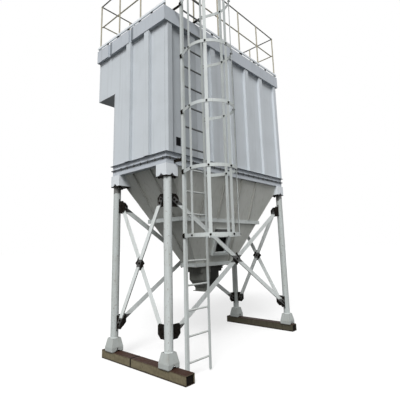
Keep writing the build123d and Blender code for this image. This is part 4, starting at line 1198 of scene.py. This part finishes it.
@dataclass(frozen=True)
class Studio:
    """A plain pale floor, soft light and the photograph's camera."""

    eye: Corner = (-4.539, -3.787, 1.559)
    forward: Corner = (0.7296, 0.6561, 0.1930)
    up: Corner = (-0.1253, -0.1492, 0.9808)
    focal_mm: float = 30.84
    sensor_mm: float = 36.0
    shift: Span = (-0.0039, -0.0539)
    view_depth: float = 200.0
    floor_size: float = 120.0
    floor_bounce: str = "#383837"
    floor_lift: float = 0.6
    sky_strength: float = 0.5
    sun_from: Corner = (-0.60, -0.40, 0.73)
    sun_strength: float = 3.2
    sun_spread: float = 28.0

    def build(self) -> None:
        """Set the floor, the light and the camera."""
        self.set_view()
        self.add_floor()
        self.add_sun()
        self.add_camera()

    def set_view(self) -> None:
        """Set the standard view and the plain white surroundings."""
        scene = bpy.context.scene
        scene.view_settings.view_transform = "Standard"
        scene.world = bpy.data.worlds.new("studio")
        tree = empty_tree(scene.world)
        strength = add_node(tree, "ShaderNodeMapRange", None, {
            "Value": seen_rays(tree), "To Min": self.sky_strength, "To Max": 1.0})
        light = add_node(tree, "ShaderNodeBackground", None, {
            "Color": linear(WHITE), "Strength": strength.outputs["Result"]})
        add_node(tree, "ShaderNodeOutputWorld", None, {"Surface": light.outputs["Background"]})

    def add_floor(self) -> None:
        """Lay the pale floor that keeps the plant's shadow."""
        bm = bmesh.new()
        bmesh.ops.create_grid(bm, x_segments=1, y_segments=1, size=self.floor_size)
        mesh = bpy.data.meshes.new("floor")
        bm.to_mesh(mesh)
        bm.free()
        mesh.materials.append(self.floor_material())
        floor = bpy.data.objects.new("floor", mesh)
        bpy.context.scene.collection.objects.link(floor)

    def floor_material(self) -> Material:
        """Make the floor's finish, white to look at and mid grey in what it throws back.

        Returns:
            The floor's material.
        """
        material = bpy.data.materials.new("pale_floor")
        tree = empty_tree(material)
        seen = seen_rays(tree)
        colour = add_node(tree, "ShaderNodeMix", {"data_type": "RGBA"}, {
            0: seen, 6: linear(self.floor_bounce), 7: linear(WHITE)})
        matt = add_node(tree, "ShaderNodeBsdfDiffuse", None, {"Color": colour.outputs[2]})
        glow = add_node(tree, "ShaderNodeEmission", None, {"Color": linear(WHITE), "Strength": 1.0})
        share = add_node(tree, "ShaderNodeMath", MULTIPLY, {0: seen, 1: self.floor_lift})
        both = add_node(tree, "ShaderNodeMixShader", None, {
            0: share.outputs["Value"], 1: matt.outputs["BSDF"], 2: glow.outputs["Emission"]})
        add_node(tree, "ShaderNodeOutputMaterial", None, {"Surface": both.outputs["Shader"]})
        return material

    def add_sun(self) -> None:
        """Add the one broad, soft lamp, high on the left."""
        data = bpy.data.lights.new("soft_key", "SUN")
        data.energy = self.sun_strength
        data.angle = math.radians(self.sun_spread)
        lamp = bpy.data.objects.new("soft_key", data)
        lamp.rotation_euler = (-Vector(self.sun_from)).to_track_quat("-Z", "Y").to_euler()
        bpy.context.scene.collection.objects.link(lamp)

    def add_camera(self) -> None:
        """Stand the camera where the photograph was taken."""
        data = bpy.data.cameras.new("camera")
        data.sensor_fit = "HORIZONTAL"
        data.sensor_width = self.sensor_mm
        data.lens = self.focal_mm
        data.shift_x, data.shift_y = self.shift
        data.clip_end = self.view_depth
        camera = bpy.data.objects.new("camera", data)
        ahead = Vector(self.forward).normalized()
        right = ahead.cross(Vector(self.up)).normalized()
        top = right.cross(ahead)
        turn = Matrix((right, top, -ahead)).transposed()
        camera.matrix_world = Matrix.Translation(self.eye) @ turn.to_4x4()
        bpy.context.scene.collection.objects.link(camera)
        bpy.context.scene.camera = camera


def main() -> None:
    """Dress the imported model, sub-assembly by sub-assembly."""
    logging.basicConfig(level=logging.INFO, format="%(message)s")
    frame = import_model()
    Studio().build()
    for kind in (Frame, RingBeam, Hopper, Housing, Ladder, Railing):
        LOG.info("sub-assembly %s", kind.__name__)
        kind(frame["nodes"]).build()


if __name__ == "__main__":
    main()
